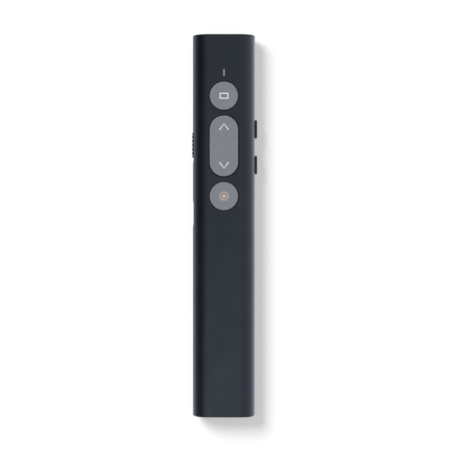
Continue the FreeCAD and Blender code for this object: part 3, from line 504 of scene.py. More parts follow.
def addRod(name, radius, low, high, axis, middle, sides):
    # a round rod from low to high along an axis
    place = list(middle)
    place["xyz".index(axis)] = (low + high) / 2
    turn = {"x": (0, pi / 2, 0), "y": (pi / 2, 0, 0), "z": (0, 0, 0)}[axis]
    deselectAll()
    bpy.ops.mesh.primitive_cylinder_add(
        vertices=sides, radius=radius, depth=high - low, end_fill_type="NGON", location=place, rotation=turn)
    rod = startPiece(name)
    settle(rod)
    return rod


def addPill(name, radius, long, low, high, axis, middle, sides=96):
    # a disc from low to high along an axis, pulled out along Y to a length
    half = (high - low) / 2
    pill = addRod(name, radius, -half, half, axis, (0, 0, 0), sides)
    place = list(middle)
    place["xyz".index(axis)] = (low + high) / 2
    pill.rotation_euler["xyz".index(axis)] = pi / sides  # half a side's turn, so that a pulled-out side is flat
    pill.location = place
    settle(pill)
    if long > radius * 2:
        editPiece(pill)
        for sign in (1, -1):
            selectEdges(pill, lambda co: (co.y - place[1]) * sign > hair)
            moveBy((long / 2 - radius) * sign, "y")
        endEdit(pill)
    return pill


def addPeg(name, radius, low, high, axis, middle, edge=0.15 * mm):
    # a round peg from low to high along an axis, with a softened rim at each end
    peg = addRod(name, radius, low, high, axis, middle, 32)
    index = "xyz".index(axis)
    editPiece(peg)
    for end in (low, high):
        selectEdges(peg, lambda co: near(co[index], end))
        bpy.ops.mesh.bevel(offset=edge, segments=2, affect="EDGES")
    endEdit(peg)
    return peg


# Front keys: caps with a rolled edge and a shallow dish, hollow below, with a stem for each snap dome

frontKey = {
    "skin": 1.1 * mm,
    "rim": 1.2 * mm,
    "skirt": 2.3 * mm,
    "edge": 0.3 * mm,
    "dish": 0.05 * mm,
    "dishBorder": 0.7 * mm,
    "dishSlope": 0.6 * mm,
    "wallShare": 0.98,  # what lies further out than this, of the radius, is the outer wall
    "stemWide": 2.4 * mm,
    "stemEdge": 0.2 * mm,
    "stopLong": 3.4 * mm,
    "stopThick": 0.8 * mm,
    "stopReach": 0.8 * mm,
    "ribThick": 0.8 * mm,
    "ribEdge": 0.05 * mm,
    "lap": 0.1 * mm,  # how far a rocker's stem runs into its roof
    "stemReach": 8.0 * mm,  # from the rocker's middle to each of its stems
    "lugSizes": (2.1 * mm, 2.4 * mm, 1.3 * mm),
    "pivotWide": 1.2 * mm,
    "pivotRise": 5.04 * mm,  # from the stem's foot up to the pivot
    "pivotReach": 2.0 * mm,  # from the rocker's side to each pin's end
    "pivotBare": 1.1 * mm,  # of each pin, past its lug
    "pivotRootShare": 0.98,  # of the way out to the lug's face, where the pin starts
    "pivotEdge": 0.1 * mm,
}


def keyBlank(name, nodeName, radius, long):
    # the outer cap: a disc pulled out to the key's length, hollowed from below, dished above
    low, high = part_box(nodeName)
    middle = (low + high) / 2
    top, bottom = high.z, high.z - frontKey["skirt"]
    cap = addPill(name, radius, long, bottom, top, "z", middle)
    editPiece(cap)
    selectEdges(cap, lambda co: near(co.z, top))
    bpy.ops.mesh.bevel(offset=frontKey["edge"], segments=4, affect="EDGES")
    selectFaces(cap, lambda centre, normal: near(centre.z, top) and normal.z > 0.99)
    bpy.ops.mesh.inset(thickness=frontKey["dishBorder"] - frontKey["edge"])
    bpy.ops.mesh.inset(thickness=frontKey["dishSlope"], depth=-frontKey["dish"])
    selectFaces(cap, lambda centre, normal: near(centre.z, bottom) and normal.z < -0.99)
    bpy.ops.mesh.inset(thickness=frontKey["rim"])
    extrudeBy(frontKey["skirt"] - frontKey["skin"], "z")
    return cap, middle, top, bottom


def roundKey(name, nodeName, body):
    low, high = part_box(nodeName)
    radius = (high.y - low.y) / 2
    cap, middle, top, bottom = keyBlank(name, nodeName, radius, radius * 2)
    roof = top - frontKey["skin"]
    selectFaces(cap, lambda centre, normal: near(centre.z, roof) and normal.z < -0.99)
    bpy.ops.mesh.inset(thickness=radius - frontKey["rim"] - frontKey["stemWide"] / 2)
    extrudeBy(low.z - roof, "z")
    bpy.ops.mesh.bevel(offset=frontKey["stemEdge"], segments=2, affect="EDGES")
    stopTop = bottom + frontKey["stopThick"]
    wall = radius * frontKey["wallShare"]
    selectFaces(cap, lambda centre, normal: abs(normal.z) < 0.01 and centre.z > bottom
                and (centre.xy - middle.xy).length > wall)
    cutAt((0, 0, stopTop), (0, 0, 1))
    for sign in (1, -1):
        selectFaces(cap, lambda centre, normal: normal.x * sign > 0.9 and centre.z < stopTop
                    and abs(centre.y - middle.y) < frontKey["stopLong"] / 2
                    and (centre.xy - middle.xy).length > wall)
        extrudeBy(frontKey["stopReach"] * sign, "x")
    endEdit(cap)
    ribMiddle = (middle.x, middle.y, (roof + bottom) / 2)
    ribLong, ribThick, ribTall = (radius - frontKey["rim"]) * 2, frontKey["ribThick"], roof - bottom
    ribs = [addBlock(f"{name}_rib", sizes, ribMiddle, frontKey["ribEdge"])
            for sizes in ((ribLong, ribThick, ribTall), (ribThick, ribLong, ribTall))]
    joinPieces(cap, *ribs)
    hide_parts(nodeName)
    dress(cap, body, "key_plastic")


def rockerKey():
    low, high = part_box("rocker_key")
    radius = high.x - frontKey["pivotReach"]
    cap, middle, top, bottom = keyBlank("rocker_key_cap", "rocker_key", radius, high.y - low.y)
    endEdit(cap)
    roof = top - frontKey["skin"]
    extras = [addPeg("stem", frontKey["stemWide"] / 2, low.z, roof + frontKey["lap"], "z",
                     (middle.x, middle.y + frontKey["stemReach"] * sign, 0)) for sign in (1, -1)]
    extras.append(addBlock("spine", (frontKey["ribThick"], high.y - low.y - frontKey["rim"], roof - bottom),
                           (middle.x, middle.y, (roof + bottom) / 2), frontKey["ribEdge"]))
    pivot = low.z + frontKey["pivotRise"]
    lugWide = frontKey["lugSizes"][0]
    lugSide = high.x - frontKey["pivotBare"]
    for sign in (1, -1):
        extras.append(addBlock("lug", frontKey["lugSizes"],
                               (middle.x + (lugSide - lugWide / 2) * sign, middle.y, pivot)))
        ends = sorted((middle.x + lugSide * sign * frontKey["pivotRootShare"], middle.x + high.x * sign))
        extras.append(addPeg("trunnion", frontKey["pivotWide"] / 2, *ends, "x", (0, middle.y, pivot),
                             frontKey["pivotEdge"]))
    joinPieces(cap, *extras)
    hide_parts("rocker_key")
    dress(cap, "rocker_body", "key_plastic")


roundKey("blank_key_cap", "blank_key", "blank_key_body")
roundKey("laser_key_cap", "laser_key", "laser_key_body")
rockerKey()
print("front keys: done")


# Side keys: slim pills with a rolled outer rim, held behind the tube's wall by a flange

sideKey = {
    "flangeReach": 0.6 * mm,
    "flangeThick": 0.7 * mm,
    "endGap": 0.05 * mm,  # shorter than the solid at each end, as the photo shows
    "edge": 0.5 * mm,
}


def sideKeyCap(name, nodeName, body):
    low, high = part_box(nodeName)
    middle = (low + high) / 2
    flangeFace = low.x + sideKey["flangeThick"]
    tall = high.z - low.z - sideKey["flangeReach"] * 2
    long = high.y - low.y - (sideKey["flangeReach"] + sideKey["endGap"]) * 2
    cap = addPill(name, tall / 2, long, flangeFace, high.x, "x", middle, 48)
    editPiece(cap)
    selectEdges(cap, lambda co: near(co.x, high.x))
    bpy.ops.mesh.bevel(offset=sideKey["edge"], segments=5, affect="EDGES")
    endEdit(cap)
    flange = addBlock("flange", (sideKey["flangeThick"], high.y - low.y, high.z - low.z),
                      (low.x + sideKey["flangeThick"] / 2, middle.y, middle.z))
    joinPieces(cap, flange)
    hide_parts(nodeName)
    dress(cap, body, "side_key_plastic")


sideKeyCap("upper_side_key_cap", "upper_side_key", "upper_side_key_body")
sideKeyCap("lower_side_key_cap", "lower_side_key", "lower_side_key_body")
print("side keys: done")


# Power slide: a ribbed crown that follows the tube's round edge, on a plate behind its wall

powerSlide = {
    "capLong": 10.2 * mm,
    "capTall": 3.4 * mm,
    "plateThick": 0.8 * mm,
    "proud": 0.33 * mm,
    "ribPitch": 1.7 * mm,
    "grooveWide": 0.75 * mm,
    "grooveDeep": 0.18 * mm,
    "grooves": 6,
    "ribEdge": 0.12 * mm,
    "skin": 0.01 * mm,  # edges this close under the crown's surface are its outer ones
    "spare": 1.0 * mm,  # of the crown and of its outline, trimmed off again
    "socket": (1.4 * mm, 1.2 * mm, 0.4 * mm),  # for the switch's lever: long, tall, deep
    "socketEdge": 0.05 * mm,
}


def powerSlideCap():
    low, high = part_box("power_knob")
    middle = (low + high) / 2
    radius = middle.z + powerSlide["proud"]
    centre = (low.x + radius, middle.y, middle.z)
    plateFace = high.x - powerSlide["plateThick"]
    half = (powerSlide["capLong"] + powerSlide["spare"]) / 2
    crown = addRod("power_slide_cap", radius, middle.y - half, middle.y + half, "y", centre, 192)
    editPiece(crown)
    grooveEdges = []
    for step in range(powerSlide["grooves"]):
        along = middle.y + (step - (powerSlide["grooves"] - 1) / 2) * powerSlide["ribPitch"]
        grooveEdges.append((along - powerSlide["grooveWide"] / 2, along + powerSlide["grooveWide"] / 2))
    for edge in (edge for pair in grooveEdges for edge in pair):
        bpy.ops.mesh.select_all(action="SELECT")
        cutAt((0, edge, 0), (0, 1, 0))
    for start, end in grooveEdges:
        selectFaces(crown, lambda point, normal: start < point.y < end)
        bpy.ops.mesh.extrude_region_shrink_fatten(
            TRANSFORM_OT_shrink_fatten={"value": -powerSlide["grooveDeep"]})
    selectEdges(crown, lambda co: (co.xz - Vector(centre).xz).length > radius - powerSlide["skin"])
    mesh = bmesh.from_edit_mesh(crown.data)
    for edge in mesh.edges:
        if edge.select and not near(edge.verts[0].co.y, edge.verts[1].co.y):
            edge.select_set(False)
    bmesh.update_edit_mesh(crown.data)
    bpy.ops.mesh.bevel(offset=powerSlide["ribEdge"], segments=3, affect="EDGES")
    bpy.ops.mesh.select_all(action="SELECT")
    cutAt((plateFace, 0, 0), (1, 0, 0), clear_outer=True, use_fill=True)
    endEdit(crown)
    outline = addPill("outline", powerSlide["capTall"] / 2, powerSlide["capLong"],
                      low.x - powerSlide["spare"], high.x, "x", middle, 64)
    shapeWith(crown, outline, "INTERSECT")
    plate = addBlock("plate", (powerSlide["plateThick"], high.y - low.y, high.z - low.z),
                     (high.x - powerSlide["plateThick"] / 2, middle.y, middle.z))
    long, tall, deep = powerSlide["socket"]
    shapeWith(plate, addBlock("socket", (deep * 2, long, tall), (high.x, middle.y, middle.z),
                              powerSlide["socketEdge"]), "DIFFERENCE")
    joinPieces(crown, plate)
    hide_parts("power_knob")
    dress(crown, "power_slide_body", "side_key_plastic")


powerSlideCap()
print("power slide: done")


# Snap domes: thin sprung caps with four flats

snapDome = {
    "thick": 0.1 * mm,
    "rings": 160,
    "segments": 32,
    "flatShare": 0.86,  # how far out the flats are, of the radius
    "keep": 0.14,  # of the height, at the end of the key's travel
}


def snapDomePiece(name, nodeName):
    low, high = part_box(nodeName)
    middle = (low + high) / 2
    reach = (high.x - low.x) / 2
    rise = high.z - low.z - snapDome["thick"]
    ball = (reach ** 2 + rise ** 2) / (2 * rise)
    deselectAll()
    bpy.ops.mesh.primitive_uv_sphere_add(
        segments=snapDome["segments"], ring_count=snapDome["rings"], radius=ball,
        location=(middle.x, middle.y, low.z + rise - ball))
    dome = startPiece(name)
    settle(dome)
    editPiece(dome)
    cutAt(low, (0, 0, 1), clear_inner=True)
    endEdit(dome)
    wall = dome.modifiers.new("sheet", "SOLIDIFY")
    wall.thickness = snapDome["thick"]
    wall.offset = 1.0
    bpy.ops.object.modifier_apply(modifier=wall.name)
    editPiece(dome)
    flat = reach * snapDome["flatShare"]
    for x, y in ((1, 0), (-1, 0), (0, 1), (0, -1)):
        bpy.ops.mesh.select_all(action="SELECT")
        cutAt((middle.x + flat * x, middle.y + flat * y, low.z), (x, y, 0), clear_outer=True, use_fill=True)
    endEdit(dome)
    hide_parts(nodeName)
    dress(dome, "housing", "spring_steel")
    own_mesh(dome)


for domeName, domeJoint in (("blank_key_dome", "blank_key_press"), ("laser_key_dome", "laser_key_press"),
                            ("page_forward_dome", "rocker_tilt"), ("page_back_dome", "rocker_tilt")):
    snapDomePiece(f"{domeName}_sheet", domeName)
print("snap domes: done")


# Small parts inside: packages with their terminals, a can, a lamp, the battery and its plug

boardParts = {
    "leadReach": 0.15 * mm,
    "leadSizes": (0.3 * mm, 0.3 * mm, 0.2 * mm),
    "leadPitch": 0.62 * mm,
    "leadEdge": 0.03 * mm,
    "dimple": 0.25 * mm,
    "dimpleDeep": 0.06 * mm,
    "dimpleInset": 0.8 * mm,
    "endShare": 0.24,  # of a passive part's length, in each tinned end
    "endProud": 0.02 * mm,  # of the tin over the body
    "passiveSizes": (0.5 * mm, 1.0 * mm, 0.5 * mm),
    # each part's place, in shares of the board's width from its middle and of its length from its tail end
    "passiveSpots": ((0.22, 0.35), (-0.22, 0.4), (0.22, 0.47), (-0.22, 0.68), (0.22, 0.88), (-0.3, 0.87)),
    "lidInset": 0.15 * mm,
    "lidShare": 0.45,  # of a lidded part's height, up to its lid
    "padWide": 0.2 * mm,
    "padGap": 0.1 * mm,
    "padThick": 0.02 * mm,
}


def chipPackage(nodeName, turns, perSide):
    # a moulded body with a dimple at its first corner, and a row of tinned leads on each of its sides
    low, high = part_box(nodeName)
    middle = (low + high) / 2
    reach = Vector((boardParts["leadReach"], boardParts["leadReach"], 0))
    package = blockIn(f"{nodeName}_package", low + reach, high - reach)
    inset, deep = boardParts["dimpleInset"], boardParts["dimpleDeep"]
    shapeWith(package, addPeg("dimple", boardParts["dimple"], high.z - deep, high.z + deep * 4, "z",
                              (low.x + inset, high.y - inset, 0), deep / 3), "DIFFERENCE")
    long, _, tall = boardParts["leadSizes"]
    pitch = boardParts["leadPitch"]
    leads = addBlock(f"{nodeName}_leads", boardParts["leadSizes"],
                     (high.x - long / 2, middle.y - pitch * (perSide - 1) / 2, low.z + tall / 2),
                     boardParts["leadEdge"])
    row = leads.modifiers.new("row", "ARRAY")
    row.count = perSide
    row.use_relative_offset = False
    row.use_constant_offset = True
    row.constant_offset_displace = (0, pitch, 0)
    bpy.ops.object.modifier_apply(modifier=row.name)
    others = []
    for turn in turns:
        others.append(copyBy(leads, (0, 0, 0)))
        bpy.ops.transform.rotate(value=radians(turn), orient_axis="Z", center_override=middle)
        settle(others[-1])
    joinPieces(leads, *others)
    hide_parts(nodeName)
    dress(package, "housing", "chip_plastic")
    dress(leads, "housing", "bright_steel")


def endedPart(nodeName, low, high, shifts=()):
    # a body with a tinned cap on each end, as capacitors and chip antennas have, and its copies
    low, high = Vector(low), Vector(high)
    size = high - low
    along = Vector((1, 0, 0)) if size.x > size.y else Vector((0, 1, 0))
    cap = along * size.dot(along) * boardParts["endShare"]
    proud = boardParts["endProud"]
    across = (Vector((1, 1, 1)) - along) * proud
    body = blockIn(f"{nodeName}_body", low + cap + across, high - cap - across, proud)
    ends = blockIn(f"{nodeName}_ends", low, high - along * size.dot(along) + cap, boardParts["leadEdge"])
    joinPieces(ends, copyBy(ends, along * size.dot(along) - cap))
    for piece in (body, ends):
        if shifts:
            joinPieces(piece, *[copyBy(piece, shift) for shift in shifts])
    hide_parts(nodeName)
    dress(body, "housing", "chip_plastic")
    dress(ends, "housing", "bright_steel")


def boardPassives():
    boardLow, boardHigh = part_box("main_board")
    size = Vector(boardParts["passiveSizes"])
    wide, long = boardHigh.x - boardLow.x, boardHigh.y - boardLow.y
    spots = [Vector((wide * across, boardLow.y + long * along, boardHigh.z))
             for across, along in boardParts["passiveSpots"]]
    corner = spots[0] - Vector((size.x / 2, size.y / 2, 0))
    endedPart("board_passives", corner, corner + size, [spot - spots[0] for spot in spots[1:]])


def liddedPart(nodeName, baseSlot, lidSlot, lidEdge):
    # a base with a narrower lid or lens on it
    low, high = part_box(nodeName)
    inset = boardParts["lidInset"]
    step = low.z + (high.z - low.z) * boardParts["lidShare"]
    base = blockIn(f"{nodeName}_base", low, (high.x, high.y, step))
    lid = blockIn(f"{nodeName}_lid", (low.x + inset, low.y + inset, step), (high.x - inset, high.y - inset, high.z),
                  lidEdge, 3)
    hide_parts(nodeName)
    dress(base, "housing", baseSlot)
    dress(lid, "housing", lidSlot)


def domePads():
    # a gilt ring on the board round each snap dome
    rings = []
    for nodeName in ("blank_key_dome", "page_forward_dome", "page_back_dome", "laser_key_dome"):
        low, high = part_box(nodeName)
        deselectAll()
        bpy.ops.mesh.primitive_circle_add(
            vertices=48, radius=(high.x - low.x) / 2 + boardParts["padGap"] + boardParts["padWide"],
            fill_type="NGON", location=((low.x + high.x) / 2, (low.y + high.y) / 2, low.z))
        rings.append(startPiece("dome_pads"))
        settle(rings[-1])
        editPiece(rings[-1])
        bpy.ops.mesh.inset(thickness=boardParts["padWide"])
        bpy.ops.mesh.delete(type="FACE")
        endEdit(rings[-1])
        raiseSheet(rings[-1], boardParts["padThick"])
    joinPieces(*rings)
    dress(rings[0], "housing", "contact_gold")


def softenedPart(nodeName, ending, body, slotName, edge):
    # a plain block's node, with its edges rounded as they are when moulded or tumbled
    piece = blockIn(f"{nodeName}_{ending}", *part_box(nodeName), edge, 3)
    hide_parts(nodeName)
    dress(piece, body, slotName)


chipPackage("microcontroller", (90, 180, 270), 8)
chipPackage("charge_chip", (180,), 4)
endedPart("chip_antenna", *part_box("chip_antenna"))
boardPassives()
liddedPart("radio_crystal", "chip_plastic", "bright_steel", 0.1 * mm)
liddedPart("status_led", "chip_plastic", "clear_plastic", 0.12 * mm)
domePads()
softenedPart("upper_side_plunger", "pin", "upper_side_key_body", "switch_plastic", 0.2 * mm)
softenedPart("lower_side_plunger", "pin", "lower_side_key_body", "switch_plastic", 0.2 * mm)
softenedPart("receiver_magnet", "block", "housing", "magnet_nickel", 0.25 * mm)
softenedPart("receiver_tongue", "bar", "receiver_body", "tongue_plastic", 0.2 * mm)
print("parts on the board: done")


# Battery: a pouch with its seams folded up along both sides, a taped seal at the front and a plug on its leads

batteryPack = {
    "fold": 0.3 * mm,  # from the pouch's side to its folded seam's outer face
    "foldThick": 0.42 * mm,
    "foldDrop": 1.1 * mm,
    "foldRise": 0.5 * mm,
    "foldInset": 1.5 * mm,  # at each end
    "edge": 1.0 * mm,
    "softEdge": 0.08 * mm,
    "sealLong": 1.8 * mm,
    "sealInset": 1.2 * mm,
    "sealThick": 0.8 * mm,
    "tapeLap": 0.06 * mm,
    "tapeInset": 1.92 * mm,
    "tapeBack": 0.24 * mm,  # behind the seal's front
    "plugEdge": 0.15 * mm,
    "slotSizes": (0.9 * mm, 1.4 * mm, 0.5 * mm),
    "slotEdge": 0.05 * mm,
    "latchSizes": (2.2 * mm, 0.3 * mm, 1.2 * mm),
    "latchDrop": 0.3 * mm,  # below the plug's top
}


def batteryPouch():
    low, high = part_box("battery")
    leadLow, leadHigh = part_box("battery_leads")
    fold, inset = batteryPack["fold"], batteryPack["sealInset"]
    front = high.y - batteryPack["sealLong"]
    pouch = blockIn("battery_pouch", (low.x + fold, low.y, low.z), (high.x - fold, front, high.z),
                    batteryPack["edge"], 5)
    thick, back, edge = batteryPack["foldThick"], batteryPack["foldInset"], batteryPack["softEdge"]
    seams = [blockIn("seam", (x, low.y + back, low.z + batteryPack["foldRise"]),
                     (x + thick, front - back, high.z - batteryPack["foldDrop"]), edge)
             for x in (low.x, high.x - thick)]
    middle = (leadLow.z + leadHigh.z) / 2
    half = batteryPack["sealThick"] / 2
    seal = blockIn("seal", (low.x + inset, front - batteryPack["edge"], middle - half),
                   (high.x - inset, high.y, middle + half), edge)
    joinPieces(pouch, seal, *seams)
    lap, inset = batteryPack["tapeLap"], batteryPack["tapeInset"]
    tape = blockIn("battery_tape", (low.x + inset, front + lap, middle - half - lap),
                   (high.x - inset, high.y - batteryPack["tapeBack"], middle + half + lap), lap)
    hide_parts("battery")
    dress(pouch, "housing", "battery_film")
    dress(tape, "housing", "battery_film", polyimideTape())


def batteryPlug():
    low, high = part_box("battery_connector")
    middle = (low + high) / 2
    latchWide, latchLong, latchTall = batteryPack["latchSizes"]
    plug = blockIn("battery_plug", low, (high.x, high.y - latchLong, high.z), batteryPack["plugEdge"], 3)
    slotWide, slotLong, slotDeep = batteryPack["slotSizes"]
    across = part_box("battery_leads")[1].x / 2 + slotWide / 4
    for x in (-across, across):
        slot = addBlock("slot", (slotWide, slotLong, slotDeep * 2), (x, middle.y, high.z), batteryPack["slotEdge"])
        shapeWith(plug, slot, "DIFFERENCE")
    latchMiddle = high.z - batteryPack["latchDrop"] - latchTall / 2
    latch = addBlock("latch", (latchWide, latchLong * 2, latchTall), (middle.x, high.y - latchLong, latchMiddle),
                     batteryPack["softEdge"])
    joinPieces(plug, latch)
    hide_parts("battery_connector")
    dress(plug, "housing", "connector_nylon")


batteryPouch()
batteryPlug()
print("battery: done")


# Nose window: a disc with a softened rim and a slightly domed front, held behind the nose's opening

noseWindow = {
    "rimDrop": 0.22 * mm,  # how far the front's rim lies behind its middle
    "rings": 6,
    "edge": 0.1 * mm,
}


def noseWindowDisc():
    low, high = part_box("nose_window")
    middle = (low + high) / 2
    radius = high.x
    rimFront = high.y - noseWindow["rimDrop"]
    disc = addRod("nose_window_disc", radius, low.y, rimFront, "y", middle, 64)
    editPiece(disc)
    for end in (low.y, rimFront):
        selectEdges(disc, lambda co: near(co.y, end))
        bpy.ops.mesh.bevel(offset=noseWindow["edge"], segments=3, affect="EDGES")
    selectFaces(disc, lambda centre, normal: near(centre.y, rimFront) and normal.y > 0.99)
    start = radius - noseWindow["edge"]
    ring = start / (noseWindow["rings"] + 0.5)
    for step in range(noseWindow["rings"]):
        # each ring rises as a shallow bowl does
        outer, inner = start - ring * step, start - ring * (step + 1)
        rise = noseWindow["rimDrop"] * (outer ** 2 - inner ** 2) / start ** 2
        bpy.ops.mesh.inset(thickness=ring, depth=rise)
    endEdit(disc)
    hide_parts("nose_window")
    dress(disc, "housing", "clear_plastic", tintedPolycarbonate())


noseWindowDisc()
print("nose window: done")


# Printed marks on the keys

keyMark = {
    "thick": 0.02 * mm,
    "frameWide": 3.5 * mm,
    "frameTall": 2.38 * mm,
    "frameStroke": 0.36 * mm,
    "chevronWide": 3.6 * mm,
    "chevronTall": 2.25 * mm,
    "chevronStroke": 0.42 * mm,
    "chevronPlace": 7.8 * mm,  # from the middle of the rocker
    "sunDot": 0.5 * mm,
    "raysIn": 1.05 * mm,
    "raysOut": 2.1 * mm,
    "rayStroke": 0.32 * mm,
    "rayCount": 10,
}
whiteInk = printInk("white pad-print ink", "#f4f5f8", "#fbfcff")
creamInk = printInk("cream pad-print ink", "#f4d49c", "#f9e3b8")
peachInk = printInk("peach pad-print ink", "#d5b6ab", "#e2c7bd")


def keyFace(nodeName):
    low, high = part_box(nodeName)
    return Vector(((low.x + high.x) / 2, (low.y + high.y) / 2, high.z - frontKey["dish"]))


def raiseMark(piece, body, ink):
    raiseSheet(piece, keyMark["thick"])
    dress(piece, body, "key_plastic", ink)


def blankMark():
    deselectAll()
    bpy.ops.mesh.primitive_plane_add(size=1, location=keyFace("blank_key"))
    piece = startPiece("blank_key_mark")
    piece.scale = (keyMark["frameWide"], keyMark["frameTall"], 1)
    settle(piece)
    editPiece(piece)
    bpy.ops.mesh.inset(thickness=keyMark["frameStroke"])
    bpy.ops.mesh.delete(type="FACE")
    endEdit(piece)
    raiseMark(piece, "blank_key_body", whiteInk)


def chevronMark(name, direction):
    # one slanted bar, mirrored across the middle
    face = keyFace("rocker_key")
    wide, tall, stroke = keyMark["chevronWide"], keyMark["chevronTall"], keyMark["chevronStroke"]
    slope = atan2(tall - stroke, wide / 2 - stroke / 2)
    long = wide / 2 / cos(slope) + stroke
    deselectAll()
    bpy.ops.mesh.primitive_plane_add(size=1, location=face)
    piece = startPiece(name)
    piece.scale = (long, stroke, 1)
    settle(piece)
    editPiece(piece)
    moveBy(long / 2 - stroke, "x")
    endEdit(piece)
    piece.location = face * -1
    settle(piece)
    piece.rotation_euler = (0, 0, -slope * direction)
    settle(piece)
    piece.location = (face.x, face.y + (keyMark["chevronPlace"] + (tall - stroke) / 2) * direction, face.z)
    mirror = piece.modifiers.new("other half", "MIRROR")
    mirror.use_bisect_axis[0] = True
    pick(piece)
    bpy.ops.object.modifier_apply(modifier=mirror.name)
    settle(piece)
    raiseMark(piece, "rocker_body", whiteInk)


def sunMark():
    face = keyFace("laser_key")
    deselectAll()
    bpy.ops.mesh.primitive_circle_add(vertices=32, radius=keyMark["sunDot"], fill_type="NGON", location=face)
    dot = startPiece("laser_key_dot")
    settle(dot)
    raiseMark(dot, "laser_key_body", creamInk)
    rays = []
    reach = (keyMark["raysIn"] + keyMark["raysOut"]) / 2
    for step in range(keyMark["rayCount"]):
        turn = pi / 2 + 2 * pi * step / keyMark["rayCount"]
        deselectAll()
        bpy.ops.mesh.primitive_plane_add(
            size=1, rotation=(0, 0, turn),
            location=(face.x + reach * cos(turn), face.y + reach * sin(turn), face.z))
        ray = startPiece(f"laser_key_ray_{step}")
        ray.scale = (keyMark["raysOut"] - keyMark["raysIn"], keyMark["rayStroke"], 1)
        settle(ray)
        rays.append(ray)
    joinPieces(*rays)
    rays[0].name = rays[0].data.name = "laser_key_rays"
    raiseMark(rays[0], "laser_key_body", peachInk)


blankMark()
chevronMark("page_forward_mark", 1)
chevronMark("page_back_mark", -1)
sunMark()
print("printed marks: done")


# Studio

studio = {
    "floorSize": 4.0,
    "floorColour": 0.65,
    "floorGlow": 0.44,
    "skyForMatt": 0.25,
    "skyForShiny": (  # degrees from overhead towards +X, and the light from there
        (-180, 1.0), (-144, 1.0), (-116, 1.45), (-98, 0.6), (-82, 0.08), (-45, 0.0), (-22, 0.42), (-6, 0.75),
        (32, 0.9), (64, 1.25), (84, 1.6), (106, 2.4), (125, 2.5), (150, 2.0), (180, 1.0)),
    "skyTint": (1.0, 0.96, 1.1),  # of that light where it comes from below the horizon
    "skyTowardsEnds": 0.8,  # replaces that light where it comes mostly along the clicker
    "endsFrom": 0.35,  # the direction's share along Y at which that starts
    "endsFull": 0.7,
    "tailLight": 2.2,  # added towards the tail, for shiny surfaces
    "tailAlong": ((-1.0, 0.1), (-0.6, 0.3), (-0.45, 1.0), (-0.25, 1.0), (-0.14, 0.0)),  # its share by direction Y
    "tailAcross": ((-0.95, 0.2), (-0.7, 0.45), (-0.45, 1.0), (0.05, 1.0), (0.3, 0.25), (0.55, 0.0)),  # and by X
    "sunFrom": (-0.68, 0.66, 1.0),
    "sunShare": 0.67,  # of the light on a surface that faces up
    "sunSpread": 27,  # degrees, for soft shadow edges
    "cameraHeight": 0.62,
    "cameraOffset": (0.0004, 0.0003),  # from over the middle
    "frameWide": 0.1822,  # what the picture spans at the front face
    "sensor": 36.0,
}


def seenDirectly(tree, path):
    # 1 for rays from the camera and for those that go on through clear parts
    return addNode(tree, "Math", links={0: path.outputs["Is Camera Ray"], 1: path.outputs["Is Transmission Ray"]},
                   operation="MAXIMUM").outputs[0]


def makeFloor():
    low, _ = cadBox
    deselectAll()
    bpy.ops.mesh.primitive_plane_add(size=studio["floorSize"], location=(0, 0, low.z))
    floor = startPiece("floor")
    finish = bpy.data.materials.new("white card")
    finish.use_nodes = True
    tree = finish.node_tree
    tree.nodes.clear()
    grey = studio["floorColour"]
    matt = addNode(tree, "BsdfDiffuse", {"Color": (grey, grey, grey, 1)})
    seen = seenDirectly(tree, addNode(tree, "LightPath"))
    strength = addNode(tree, "Math", {1: studio["floorGlow"]}, {0: seen}, operation="MULTIPLY")
    glow = addNode(tree, "Emission", links={"Strength": strength.outputs[0]})
    both = addNode(tree, "AddShader", links={0: matt.outputs[0], 1: glow.outputs[0]})
    addNode(tree, "OutputMaterial", links={"Surface": both.outputs[0]})
    floor.data.materials.append(finish)
    floor.visible_glossy = False  # shiny surfaces show the studio sky all round


def placeStops(ramp, stops):
    # a ramp starts with two stops, and the rest are added
    elements = ramp.color_ramp.elements
    for index, (position, colour) in enumerate(stops):
        stop = elements[index] if index < 2 else elements.new(1.0)
        stop.position = position
        stop.color = (*colour, 1)


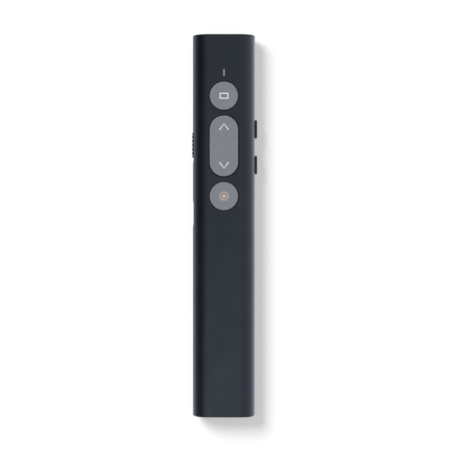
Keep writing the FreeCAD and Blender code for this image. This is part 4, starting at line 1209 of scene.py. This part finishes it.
def makeWorld():
    # white for the camera, a dim even sky for matt surfaces, and for shiny ones a studio that is dark
    # on the left, bright low on the right, even towards both ends and lit by a soft light past the tail
    world = bpy.data.worlds.new("studio")
    bpy.context.scene.world = world
    world.use_nodes = True
    world.cycles.sampling_method = "NONE"
    tree = world.node_tree
    tree.nodes.clear()
    direction = addNode(tree, "TexCoord").outputs["Generated"]
    parts = addNode(tree, "SeparateXYZ", links={"Vector": direction})
    turn = addNode(tree, "Math", links={0: parts.outputs["X"], 1: parts.outputs["Z"]}, operation="ARCTAN2")
    turnShare = addNode(tree, "MapRange", {"From Min": -pi, "From Max": pi}, {"Value": turn.outputs[0]})
    ramp = addNode(tree, "ValToRGB", links={"Fac": turnShare.outputs["Result"]})
    brightest = max(level for _, level in studio["skyForShiny"])
    placeStops(ramp, [((angle + 180) / 360, [level / brightest * channel for channel in (
        studio["skyTint"] if abs(angle) > 90 else (1, 1, 1))]) for angle, level in studio["skyForShiny"]])
    tail = []
    for axis, shares in (("X", "tailAcross"), ("Y", "tailAlong")):
        half = addNode(tree, "MapRange", {"From Min": -1}, {"Value": parts.outputs[axis]})
        tail.append(addNode(tree, "ValToRGB", links={"Fac": half.outputs["Result"]}))
        placeStops(tail[-1], [((way + 1) / 2, [level] * 3) for way, level in studio[shares]])
    both = addNode(tree, "Math", links={0: tail[0].outputs["Color"], 1: tail[1].outputs["Color"]},
                   operation="MULTIPLY")
    tailShare = addNode(tree, "Math", {1: studio["tailLight"]}, {0: both.outputs[0]}, operation="MULTIPLY")
    path = addNode(tree, "LightPath")
    mattSky = addNode(tree, "Background", {"Color": (1, 1, 1, 1), "Strength": studio["skyForMatt"]})
    acrossSky = addNode(tree, "Background", {"Strength": brightest}, {"Color": ramp.outputs["Color"]})
    tailSky = addNode(tree, "Background", {"Color": (1, 1, 1, 1)}, {"Strength": tailShare.outputs[0]})
    along = addNode(tree, "Math", links={0: parts.outputs["Y"]}, operation="ABSOLUTE")
    endsShare = addNode(tree, "MapRange", {"From Min": studio["endsFrom"], "From Max": studio["endsFull"]},
                        {"Value": along.outputs[0]})
    endsSky = addNode(tree, "Background", {"Color": (1, 1, 1, 1), "Strength": studio["skyTowardsEnds"]})
    allRoundSky = addNode(tree, "MixShader", links={
        0: endsShare.outputs["Result"], 1: acrossSky.outputs[0], 2: endsSky.outputs[0]})
    shinySky = addNode(tree, "AddShader", links={0: allRoundSky.outputs[0], 1: tailSky.outputs[0]})
    whiteSky = addNode(tree, "Background", {"Color": (1, 1, 1, 1), "Strength": 1.0})
    forShiny = addNode(tree, "MixShader", links={
        0: path.outputs["Is Glossy Ray"], 1: mattSky.outputs[0], 2: shinySky.outputs[0]})
    forCamera = addNode(tree, "MixShader", links={
        0: seenDirectly(tree, path), 1: forShiny.outputs[0], 2: whiteSky.outputs[0]})
    addNode(tree, "OutputWorld", links={"Surface": forCamera.outputs[0]})


def makeSun():
    toSun = Vector(studio["sunFrom"]).normalized()
    data = bpy.data.lights.new("key light", "SUN")
    data.angle = radians(studio["sunSpread"])
    data.energy = studio["sunShare"] * pi / toSun.z
    light = bpy.data.objects.new("key light", data)
    light.rotation_euler = toSun.to_track_quat("Z", "Y").to_euler()
    light.location = toSun
    light.visible_glossy = False  # shiny surfaces show the studio sky instead
    bpy.context.scene.collection.objects.link(light)


def makeCamera():
    low, high = cadBox
    data = bpy.data.cameras.new("camera")
    data.sensor_width = studio["sensor"]
    data.lens = studio["sensor"] * studio["cameraHeight"] / studio["frameWide"]
    camera = bpy.data.objects.new("camera", data)
    camera.location = (*studio["cameraOffset"], high.z + studio["cameraHeight"])
    bpy.context.scene.collection.objects.link(camera)
    bpy.context.scene.camera = camera


makeFloor()
makeWorld()
makeSun()
makeCamera()
bpy.context.scene.view_settings.view_transform = "Standard"
print("studio: done")
